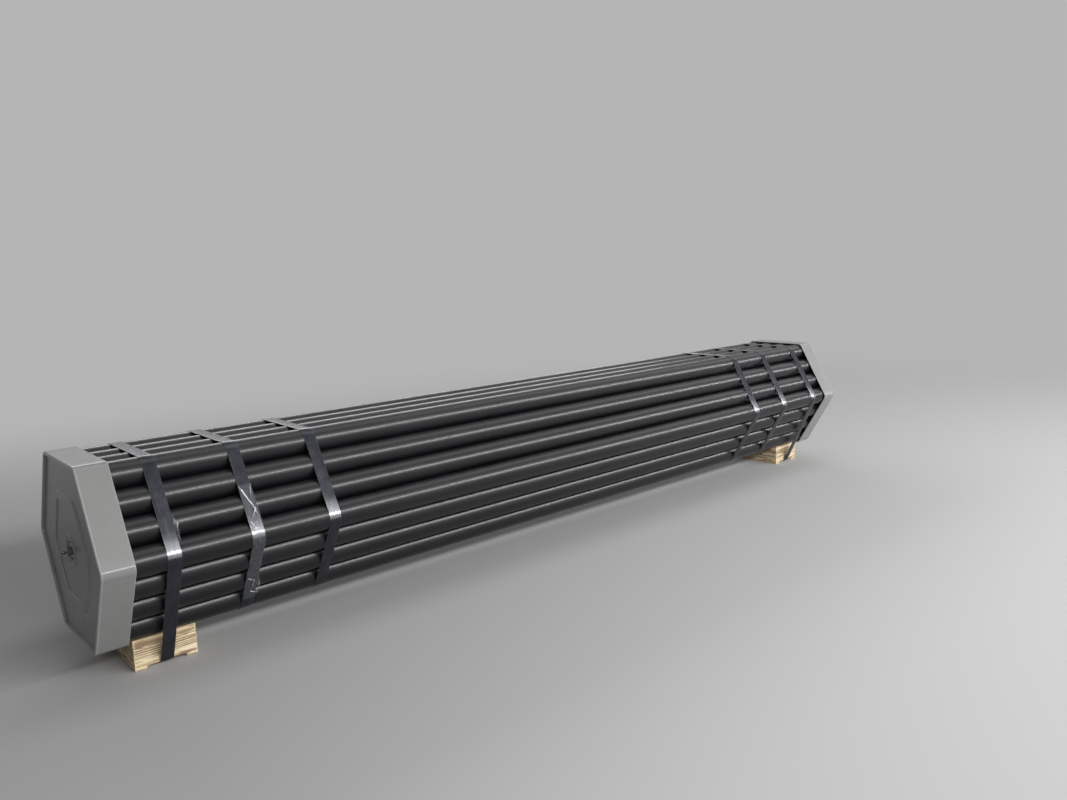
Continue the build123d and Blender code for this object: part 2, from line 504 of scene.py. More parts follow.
@dataclass(frozen=True)
class StrapSteel(Finish):
    """Blued steel strapping, semi-gloss, scratched along its run, worn to the steel along its edges, with a painted
    highlight in bright steel colour over the side corner pipes.

    Attributes:
        highlight_heights: Heights above the axis at which the painted highlight over the bend starts to fade in and is
            full.
        highlight_foot: Heights above the axis between which its lower end fades in.
        highlight_fade: How steeply it fades in.
        highlight_strength: How strongly the painted highlight lays the bright steel colour on; highlight_streaks is
            what the scratches take from that.
        beside: Distance from the middle beyond which it shows.
        edge_wear: How far the worn edges are stripped to the steel.
        cloud_roughness: How much rougher the steel's clouds are.
    """

    name: str = "blued strapping steel"
    slot: Slot = Slot.STRAP
    blued: Colour = (0.036, 0.038, 0.046)
    pale: Colour = (0.062, 0.065, 0.078)
    bare_steel_and_highlight: Colour = (0.36, 0.37, 0.39)
    scoring: Marks = Marks((5.0, 900.0, 1.0), amount=0.16, tint=0.09, depth=0.000006)
    rubbing: Marks = Marks((30.0, 260.0, 1.0), amount=0.07, tint=0.12)
    waviness: float = 0.00002
    half_width: float = 0.016
    bare_edge: float = 0.0012
    highlight_heights: Point = (0.075, 0.015)
    highlight_foot: Point = (-0.002, 0.006)
    highlight_fade: float = 2.2
    highlight_strength: float = 0.80
    highlight_streaks: float = 0.30
    beside: float = 0.19
    edge_wear: float = 0.55
    cloud_roughness: float = 0.07

    def look(self, wires: Wiring, effects: Effects) -> dict[str, object]:
        """Builds the steel, with marks that follow the strap round its bends and a painted highlight over the side
        corner pipes.
        """
        across = wires.attribute("across")
        run = wires.joined(wires.attribute("along"), across, wires.attribute("strap_seed"))
        marks = effects.scratches(self.scoring, run)
        rubs = effects.scratches(self.rubbing, run)
        edge = wires.span(wires.math("ABSOLUTE", across), self.half_width - self.bare_edge, self.half_width)
        worn = effects.worn_edge(edge, scale=190.0)
        _, y, z = wires.split(effects.place)
        # Painted highlight: the bright steel colour is laid on the strap just above the side corner pipes, where the
        # lamp's reflection falls on its bend.
        above = wires.minus(z, SIZES.axis_height)
        highlight_rise = wires.math("POWER", wires.span(above, *self.highlight_heights), self.highlight_fade)
        beside = wires.math("GREATER_THAN", wires.math("ABSOLUTE", y), self.beside)
        painted_highlight = wires.times(wires.times(highlight_rise, wires.span(above, *self.highlight_foot)), beside)
        highlight_cover = wires.scaled(marks, by=-self.highlight_streaks, plus=self.highlight_strength)
        colour = wires.coats(wires.blend(effects.mottle(scale=24.0, contrast=0.6), self.blued, self.pale),
                             (marks, self.scoring.tint, self.bare_steel_and_highlight), (rubs, self.rubbing.tint, self.bare_steel_and_highlight),
                             (worn, self.edge_wear, self.bare_steel_and_highlight), (painted_highlight, highlight_cover, self.bare_steel_and_highlight))
        rough = wires.plus(wires.scaled(marks, by=0.10, plus=0.22),
                           wires.times(effects.mottle(scale=60.0, contrast=0.6), self.cloud_roughness))
        normal = wires.bump((marks, self.scoring.depth), (effects.grain(scale=160.0), self.waviness))
        return {"Base Color": colour, "Roughness": rough, "Metallic": wires.scaled(worn, by=0.20, plus=0.78),
                "Normal": normal}


@dataclass(frozen=True)
class VeneerWood(Finish):
    """Raw laminated veneer with sawn ends: pale and brown plies, open grain, dark glue lines.

    Attributes:
        fibres: How fine the fibres are along each axis.
        layers: How fine the bands of dark wood are along each axis.
        tone_shift: How far the fibres move along X from one ply to another.
        fibre_depth: Depth of the fibres, in metres; saw_depth is that of the saw marks.
        bleaching: How pale the corners and outer plies are.
        gluing: How dark the glue lines are; staining says the same of the stains.
        waver: How far the glue lines waver, in plies; waver_scale is how finely.
        strong_lines: Values of the draw between which a glue line goes from faint to strong.
        line_start: How far from mid-ply a faint line starts, in plies; a strong one starts widening nearer to it.
        wander: How far that varies along a line.
        crispness: How sharply a line sets in.
        faintest: Share of their darkness that the faintest lines keep.
        unbroken: Values of the clouds between which a line is whole.
    """

    name: str = "laminated veneer"
    slot: Slot = Slot.WOOD
    pale: Colour = (0.95, 0.82, 0.57)
    tan: Colour = (0.72, 0.55, 0.32)
    brown: Colour = (0.34, 0.21, 0.105)
    glue: Colour = (0.135, 0.075, 0.034)
    tan_plies: Tint = Tint(low=0.35, high=0.75, strength=0.70, colour=tan)
    brown_plies: Tint = Tint(low=0.64, high=0.82, strength=0.75, colour=brown)
    tan_fibres: Tint = Tint(low=0.48, high=0.70, strength=0.55, colour=tan)
    brown_fibres: Tint = Tint(low=0.60, high=0.74, strength=0.60, colour=brown)
    dark_bands: Tint = Tint(low=0.48, high=0.60, strength=0.80, colour=(0.27, 0.165, 0.10))
    ply: float = 0.003
    fibres: tuple[float, float, float] = (22.0, 22.0, 900.0)
    layers: tuple[float, float, float] = (16.0, 16.0, 165.0)
    pores: Marks = Marks((160.0, 160.0, 1100.0), amount=0.14, tint=0.35, depth=0.0003)
    tone_shift: float = 61.0
    fibre_depth: float = 0.0005
    saw_depth: float = 0.00012
    bleaching: float = 0.62
    gluing: float = 0.90
    staining: float = 0.16
    waver: float = 1.1
    waver_scale: float = 38.0
    strong_lines: Point = (0.25, 0.75)
    line_start: float = 0.47
    widening: float = 0.22
    wander: float = 0.12
    crispness: float = 14.0
    faintest: float = 0.35
    unbroken: Point = (-0.10, 0.45)

    def glue_lines(self, wires: Wiring, effects: Effects) -> Socket:
        """Wavy dark lines between the plies, each of its own strength, where the mesh marks a sawn face."""
        wavy = wires.noise(effects.place, self.waver_scale, 3.0, Roughness=0.6)
        height = wires.split(effects.place)[2]
        plies_up = wires.plus(wires.math("DIVIDE", height, self.ply),
                              wires.scaled(wavy, by=self.waver, plus=-self.waver / 2))
        from_seam = wires.math("ABSOLUTE", wires.minus(wires.math("FRACT", plies_up), 0.5))
        number = wires.plus(wires.math("FLOOR", wires.plus(plies_up, 0.5)), 0.25)
        drawn = wires.out("ShaderNodeTexWhiteNoise", {"W": number}, noise_dimensions="1D")
        strong = wires.span(drawn, *self.strong_lines)
        wandering = wires.scaled(effects.mottle(scale=60.0, contrast=0.6), by=self.wander, plus=-self.wander / 2)
        reach = wires.plus(wires.scaled(strong, by=-self.widening, plus=self.line_start), wandering)
        seam = wires.times(wires.minus(from_seam, reach), self.crispness, clamp=True)
        seam = wires.times(seam, wires.scaled(strong, by=1 - self.faintest, plus=self.faintest))
        whole = wires.span(effects.mottle(scale=45.0, contrast=0.5), *self.unbroken)
        return wires.times(wires.times(seam, whole), wires.attribute("edge"))

    def look(self, wires: Wiring, effects: Effects) -> dict[str, object]:
        """Builds the wood: a tone for each ply, dark glue lines, fibres along each ply and stains."""
        tone = wires.attribute("ply_tone")
        shift = wires.joined(wires.times(tone, self.tone_shift))
        drawn = wires.vector("ADD", wires.vector("MULTIPLY", effects.place, self.fibres), shift)
        fibre = wires.noise(drawn, 1.0, 6.0, Roughness=0.6, Distortion=0.3)
        layered = wires.vector("MULTIPLY", effects.place, self.layers)
        bands = wires.noise(layered, 1.0, 4.0, Roughness=0.55, Distortion=0.6)
        pores = effects.scratches(self.pores)
        colour = wires.coats(
            self.pale, effects.tinted(tone, self.tan_plies), effects.tinted(tone, self.brown_plies),
            effects.tinted(fibre, self.tan_fibres), effects.tinted(fibre, self.brown_fibres),
            effects.tinted(bands, self.dark_bands), (pores, self.pores.tint, self.brown),
            (wires.attribute("worn_end"), self.bleaching, self.pale),
            (self.glue_lines(wires, effects), self.gluing, self.glue),
            (effects.mottle(scale=13.0, contrast=0.85), self.staining, self.brown))
        normal = wires.bump((fibre, self.fibre_depth), (pores, self.pores.depth),
                            (effects.grain(scale=900.0), self.saw_depth))
        return {"Base Color": colour, "Roughness": wires.scaled(fibre, by=0.2, plus=0.66), "Normal": normal,
                "Specular IOR Level": 0.25}


@dataclass(frozen=True)
class ZincPlate(Finish):
    """Zinc plating of the rod, nuts and washers, dulled and slightly stained.

    Attributes:
        spangle: How fine the crystals are.
        pitting: Depth of the fine pits, in metres.
        staining: Strength of the stains; stain_roughness is how much rougher they are.
    """

    name: str = "zinc plate"
    slot: Slot = Slot.ZINC
    bright: Colour = (0.50, 0.50, 0.52)
    dull: Colour = (0.17, 0.17, 0.175)
    stain: Colour = (0.07, 0.055, 0.04)
    spangle: float = 520.0
    pitting: float = 0.00003
    staining: float = 0.45
    stain_roughness: float = 0.3

    def look(self, wires: Wiring, effects: Effects) -> dict[str, object]:
        """Builds the plating with spangle, fine pitting and stains."""
        cells = wires.put("ShaderNodeTexVoronoi", {"Vector": effects.place, "Scale": self.spangle}).outputs["Color"]
        flake = wires.out("ShaderNodeSeparateColor", {0: cells})
        stains = effects.mottle(scale=160.0, contrast=0.9)
        plated = wires.blend(wires.scaled(flake, by=0.25, plus=0.3), self.dull, self.bright)
        rough = wires.plus(wires.scaled(flake, by=0.05, plus=0.19), wires.times(stains, self.stain_roughness),
                           clamp=True)
        return {"Base Color": wires.coats(plated, (stains, self.staining, self.stain)), "Roughness": rough,
                "Metallic": 0.95, "Normal": wires.bump((effects.grain(scale=1500.0), self.pitting))}


@dataclass(frozen=True)
class ClearFilm(Finish):
    """Clear wrapping film: faint haze, with a painted highlight along its folds in a near-white colour and more
    opacity.

    Attributes:
        crinkle: Depth of the fine crinkles, in metres.
        folded: Values of the mesh's mark between which a fold's painted highlight comes up.
        haze_cover: How much the haze hides of what is behind the film.
    """

    name: str = "clear film"
    slot: Slot = Slot.FILM
    haze: Colour = (0.55, 0.57, 0.61)
    bright: Colour = (0.86, 0.88, 0.92)
    crinkle: float = 0.0004
    folded: Point = (0.45, 1.0)
    haze_cover: float = 0.03

    def look(self, wires: Wiring, effects: Effects) -> dict[str, object]:
        """Builds the film, clearer between its folds, which carry a painted highlight."""
        # Painted highlight: the folds take a near-white colour and more opacity.
        fold = wires.span(wires.attribute("fold"), *self.folded)
        haze = effects.mottle(scale=90.0, contrast=0.6)
        alpha = wires.plus(wires.scaled(fold, by=0.50, plus=0.03), wires.times(haze, self.haze_cover), clamp=True)
        normal = wires.bump((effects.mottle(scale=260.0, contrast=0.4), self.crinkle))
        return {"Base Color": wires.blend(fold, self.haze, self.bright), "Alpha": alpha,
                "Roughness": wires.scaled(haze, by=0.1, plus=0.10), "Normal": normal, "Specular IOR Level": 0.6}


def set_out(name: str, data: bpy.types.ID) -> bpy.types.Object:
    """Puts an object with this data in the scene, at the origin."""
    thing = bpy.data.objects.new(name, data)
    bpy.context.scene.collection.objects.link(thing)
    return thing


def mesh_of(name: str, points: Iterable[Sequence[float]], faces: Faces = (), edges: Sequence[tuple[int, int]] = (),
            **marks: Sequence[float]) -> bpy.types.Mesh:
    """Makes a mesh.

    Args:
        name: Name of the mesh.
        points: Vertices in the shared frame, in metres.
        faces: Vertex numbers of each face, outward.
        edges: Vertex numbers of each loose edge.
        marks: Numbers to store on the vertices, by name.

    Returns:
        The mesh.
    """
    data = bpy.data.meshes.new(name)
    data.from_pydata([tuple(point) for point in points], edges, faces)
    for label, values in marks.items():
        data.attributes.new(label, "FLOAT", "POINT").data.foreach_set("value", values)
    return data


def evaluated(thing: bpy.types.Object) -> bpy.types.Mesh:
    """Plain mesh of an object as its modifiers make it."""
    graph = bpy.context.evaluated_depsgraph_get()
    return bpy.data.meshes.new_from_object(thing.evaluated_get(graph), depsgraph=graph)


@dataclass
class Workshop:
    """Makes pieces, dresses them and joins them to the frame."""

    finishes: dict[Slot, bpy.types.Material] = field(default_factory=dict)

    def stock(self, *finishes: Finish) -> None:
        """Builds the material of each finish."""
        built: dict[str, Tree] = {}
        for finish in finishes:
            self.finishes[finish.slot] = finish.material(built)

    def dress(self, name: str, data: bpy.types.Mesh, slot: Slot, smooth_angle: float) -> bpy.types.Object:
        """Makes a piece of a mesh.

        Args:
            name: Name of the piece.
            data: Its mesh.
            slot: Slot whose finish it takes.
            smooth_angle: Edges that turn more than this many degrees stay sharp.

        Returns:
            The piece.
        """
        data.name = name
        data.materials.clear()
        data.materials.append(self.finishes[slot])
        data.polygons.foreach_set("material_index", [0] * len(data.polygons))
        data.validate()
        data.shade_smooth()
        data.set_sharp_from_angle(angle=math.radians(smooth_angle))
        data.update()
        return set_out(name, data)

    def grow(self, name: str, trees: Sequence[tuple[Tree, dict]], slot: Slot, smooth_angle: float) -> bpy.types.Object:
        """Runs one or more geometry node trees and joins their results in one piece.

        Args:
            name: Name of the piece.
            trees: Each tree with the values of its named inputs.
            slot: Slot whose finish it takes.
            smooth_angle: Edges that turn more than this many degrees stay sharp.

        Returns:
            The piece, with no modifier left on it.
        """
        parts = []
        for tree, values in trees:
            holder = set_out(f"{name}.making", bpy.data.meshes.new(name))
            modifier = holder.modifiers.new("making", "NODES")
            modifier.node_group = tree
            sockets = {s.name: s.identifier for s in tree.interface.items_tree if s.in_out == "INPUT"}
            for label, value in {**values, "Material": self.finishes[slot]}.items():
                modifier[sockets[label]] = value
            parts.append(evaluated(holder))
            holder.modifiers.remove(modifier)
            bpy.data.objects.remove(holder)
        data = parts[0] if len(parts) == 1 else self.joined(name, parts)
        return self.dress(name, data, slot, smooth_angle)

    @staticmethod
    def joined(name: str, parts: Sequence[bpy.types.Mesh]) -> bpy.types.Mesh:
        """Joins meshes that carry the same marks into one."""
        points, faces = [], []
        labels = [a.name for a in parts[0].attributes if a.data_type == "FLOAT" and a.domain == "POINT"]
        marks = {label: [] for label in labels}
        for part in parts:
            start = len(points)
            points += [v.co.copy() for v in part.vertices]
            faces += [[start + i for i in face.vertices] for face in part.polygons]
            for label in labels:
                marks[label] += [item.value for item in part.attributes[label].data]
        return mesh_of(name, points, faces, **marks)

    @staticmethod
    def settle(piece: bpy.types.Object, slot: Slot, node: str) -> None:
        """Joins a finished piece to the bundle in place of the node that it stands for."""
        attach(piece, "root")
        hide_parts(node)
        triangles = sum(len(face.vertices) - 2 for face in piece.data.polygons)
        log.info("%s: %d triangles, stands for %s", piece.name, triangles, node)


def bridged(rings: Sequence[Ring], closed: bool) -> tuple[list[Vector], Faces]:
    """Joins rings of equal count with quads.

    Args:
        rings: Rings of points, each running the same way.
        closed: Whether the last ring joins the first.

    Returns:
        The points and the faces.
    """
    count = len(rings[0])
    points = [point for ring in rings for point in ring]
    faces = []
    for r in range(len(rings) if closed else len(rings) - 1):
        here, there = r * count, (r + 1) % len(rings) * count
        for i in range(count):
            j = (i + 1) % count
            faces.append([here + i, here + j, there + j, there + i])
    return points, faces


def turned_round(faces: Faces) -> Faces:
    """The same faces seen from the other side."""
    return [face[::-1] for face in faces]


def polar(reach: float, degrees: float, centre: Point = (0.0, 0.0)) -> Point:
    """Point at a distance and an angle from a centre."""
    turn = math.radians(degrees)
    return centre[0] + reach * math.cos(turn), centre[1] + reach * math.sin(turn)


def arc(centre: Point, radius: float, start: float, end: float, steps: int) -> list[Point]:
    """Points along an arc, from one angle to another in degrees."""
    return [polar(radius, start + (end - start) * i / steps, centre) for i in range(steps + 1)]


def between(start: Point, end: Point, pieces: int) -> list[Point]:
    """Points that divide a straight run in equal pieces, without its ends."""
    (a, b), (c, d) = start, end
    return [(a + (c - a) * i / pieces, b + (d - b) * i / pieces) for i in range(1, pieces)]


@dataclass
class GrowingTree:
    """A geometry node tree with named inputs, ready to be wired.

    Attributes:
        name: Name of the tree.
        inputs: Names of its inputs by the kind of their sockets; one for the material is added.
    """

    name: str
    inputs: dict[str, Sequence[str]]

    def __post_init__(self) -> None:
        """Makes the tree's sockets."""
        tree = bpy.data.node_groups.new(self.name, "GeometryNodeTree")
        tree.interface.new_socket("Geometry", in_out="OUTPUT", socket_type="NodeSocketGeometry")
        for kind, labels in {**self.inputs, "NodeSocketMaterial": ("Material",)}.items():
            for label in labels:
                tree.interface.new_socket(label, in_out="INPUT", socket_type=kind)
        self.wires = Wiring(tree)
        self.given = self.wires.put("NodeGroupInput").outputs

    def eased_bar(self, width: Socket, height: Socket, easing: Socket, steps: int) -> Socket:
        """A rectangular section with rounded corners."""
        section = self.wires.out("GeometryNodeCurvePrimitiveQuadrilateral", {"Width": width, "Height": height})
        return self.wires.out("GeometryNodeFilletCurve", {"Curve": section, "Radius": easing, "Count": steps,
                                                          "Limit Radius": True}, mode="POLY")

    def close(self, geometry: Socket) -> Tree:
        """Ends the tree in Realize Instances and Set Material."""
        real = self.wires.out("GeometryNodeRealizeInstances", {"Geometry": geometry})
        dressed = self.wires.out("GeometryNodeSetMaterial", {"Geometry": real, "Material": self.given["Material"]})
        self.wires.put("NodeGroupOutput", {0: dressed})
        return self.wires.tree


def tube_row_tree() -> Tree:
    """A level row of tubes along X, each with chamfered ends and a tone of its own."""
    form = GrowingTree("tube row", {"NodeSocketInt": ("Count", "Segments", "Seed"),
                                    "NodeSocketFloat": ("Pitch", "Radius", "Wall", "Length", "Chamfer", "Height")})
    wires, given = form.wires, form.given
    middle = wires.minus(given["Radius"], wires.times(given["Wall"], 0.5))
    hoop = wires.out("GeometryNodeCurvePrimitiveCircle", {"Resolution": given["Segments"], "Radius": middle})
    section = form.eased_bar(given["Wall"], given["Length"], given["Chamfer"], steps=1)
    tube = wires.out("GeometryNodeCurveToMesh", {"Curve": hoop, "Profile Curve": section})
    laid = wires.out("GeometryNodeTransform", {"Geometry": tube, "Rotation": ALONG_X})
    first_y = wires.times(wires.times(wires.minus(given["Count"], 1.0), given["Pitch"]), -0.5)
    line = wires.out("GeometryNodeMeshLine", {"Count": given["Count"], "Offset": wires.joined(y=given["Pitch"]),
                                              "Start Location": wires.joined(0.0, first_y, given["Height"])},
                     mode="OFFSET")
    row = wires.out("GeometryNodeInstanceOnPoints", {"Points": line, "Instance": laid})
    tone = wires.put("FunctionNodeRandomValue", {"Seed": given["Seed"]}, data_type="FLOAT").outputs[1]
    return form.close(wires.mark(row, "pipe_tone", tone, "INSTANCE"))


def thread_tree() -> Tree:
    """A threaded bar along X with a chamfer at both ends."""
    form = GrowingTree("threaded bar", {"NodeSocketFloat": ("Length", "Radius", "Depth", "Pitch", "Chamfer"),
                                        "NodeSocketVector": ("Centre",), "NodeSocketInt": ("Sides", "Steps")})
    wires, given = form.wires, form.given
    bar = wires.out("GeometryNodeMeshCylinder", {"Vertices": given["Sides"], "Side Segments": given["Steps"],
                                                 "Radius": 1.0, "Depth": given["Length"]})
    here = wires.out("GeometryNodeInputPosition")
    x, y, z = wires.split(here)
    turn = wires.math("DIVIDE", wires.math("ARCTAN2", y, x), 2 * math.pi)
    phase = wires.math("FRACT", wires.minus(wires.math("DIVIDE", z, given["Pitch"]), turn))
    ridge = wires.times(wires.math("ABSOLUTE", wires.minus(phase, 0.5)), 2.0)
    flank_start, flank_end = 0.12, 0.88
    cut = wires.times(given["Depth"], wires.span(ridge, flank_start, flank_end))
    from_end = wires.minus(wires.times(given["Length"], 0.5), wires.math("ABSOLUTE", z))
    short = wires.math("MAXIMUM", wires.minus(given["Chamfer"], from_end), 0.0)
    reach = wires.math("MINIMUM", wires.minus(given["Radius"], cut), wires.minus(given["Radius"], short))
    spread = wires.vector("MULTIPLY", here, wires.joined(reach, reach, 1.0))
    cut_bar = wires.out("GeometryNodeSetPosition", {"Geometry": bar, "Position": spread})
    return form.close(wires.out("GeometryNodeTransform", {"Geometry": cut_bar, "Rotation": ALONG_X,
                                                          "Translation": given["Centre"]}))


def ply_stack_tree() -> Tree:
    """A stack of plies, each a hair thinner than its share, a little different in size, and with its own tone."""
    form = GrowingTree("ply stack", {"NodeSocketInt": ("Plies", "First Ply", "Seed"), "NodeSocketVector": ("Base",),
                                     "NodeSocketFloat": ("Ply Thickness", "Width", "Length", "Raggedness")})
    wires, given = form.wires, form.given
    thickness = given["Ply Thickness"]
    size = wires.joined(given["Width"], given["Length"], wires.times(thickness, PLY_FILL))
    slab = wires.out("GeometryNodeMeshCube", {"Size": size, "Vertices X": 25, "Vertices Y": 37, "Vertices Z": 2})
    start = wires.vector("ADD", given["Base"], wires.joined(z=wires.times(thickness, 0.5)))
    line = wires.out("GeometryNodeMeshLine", {"Count": given["Plies"], "Start Location": start,
                                              "Offset": wires.joined(z=thickness)}, mode="OFFSET")
    index = wires.plus(wires.out("GeometryNodeInputIndex"), given["First Ply"])
    inset = wires.math("DIVIDE", given["Raggedness"], given["Width"])
    least = wires.minus(1.0, wires.times(inset, 2.0))
    scale = wires.out("FunctionNodeRandomValue", {0: wires.joined(least, least, 1.0), 1: (1.0, 1.0, 1.0), "ID": index,
                                                  "Seed": given["Seed"]}, data_type="FLOAT_VECTOR")
    stack = wires.out("GeometryNodeInstanceOnPoints", {"Points": line, "Instance": slab, "Scale": scale})
    tone = wires.put("FunctionNodeRandomValue", {"ID": index, "Seed": wires.plus(given["Seed"], 7.0)},
                     data_type="FLOAT").outputs[1]
    return form.close(wires.mark(stack, "ply_tone", tone, "INSTANCE"))


def strip_tree() -> Tree:
    """A flat strip that follows the closed line of a mesh, with the run and the side marked on it."""
    form = GrowingTree("strip", {"NodeSocketObject": ("Path",),
                                 "NodeSocketFloat": ("Width", "Thickness", "Easing", "Mark")})
    wires, given = form.wires, form.given
    line = wires.put("GeometryNodeObjectInfo", {"Object": given["Path"]}).outputs["Geometry"]
    run = wires.put("GeometryNodeSplineParameter").outputs["Length"]
    path = wires.mark(wires.out("GeometryNodeMeshToCurve", {"Mesh": line}), "along", run, "POINT")
    section = form.eased_bar(given["Width"], given["Thickness"], given["Easing"], steps=3)
    side = wires.split(wires.out("GeometryNodeInputPosition"))[0]
    section = wires.mark(wires.mark(section, "across", side, "POINT"), "strap_seed", given["Mark"], "POINT")
    return form.close(wires.out("GeometryNodeCurveToMesh", {"Curve": path, "Profile Curve": section}))


@dataclass
class PipeStack:
    """Seven level rows of pipes, packed in a hexagon."""

    shop: Workshop
    segments: int = 96
    end_chamfer: float = 0.0008

    def build(self) -> None:
        """Builds one piece for each row."""
        tree = tube_row_tree()
        for row in range(-SIZES.rows_from_middle, SIZES.rows_from_middle + 1):
            number = row + SIZES.rows_from_middle + 1
            values = {"Count": 2 * SIZES.rows_from_middle + 1 - abs(row), "Pitch": SIZES.pipe_pitch,
                      "Radius": SIZES.pipe_radius, "Wall": SIZES.pipe_wall, "Length": SIZES.pipe_length,
                      "Chamfer": self.end_chamfer, "Height": SIZES.axis_height + row * SIZES.row_pitch,
                      "Segments": self.segments, "Seed": number}
            piece = self.shop.grow(f"coated_pipes_{number}", [(tree, values)], Slot.COATING, 30.0)
            self.shop.settle(piece, Slot.COATING, f"pipe_row_{number}")


@dataclass(frozen=True)
class Station:
    """Station of a cap's section: its distance from the axis, depth behind the front, outline and edge mark, which sets
    the painted edge highlight and the chipped wear there.
    """

    distance: float
    depth: float
    outline: Outline
    edge: float


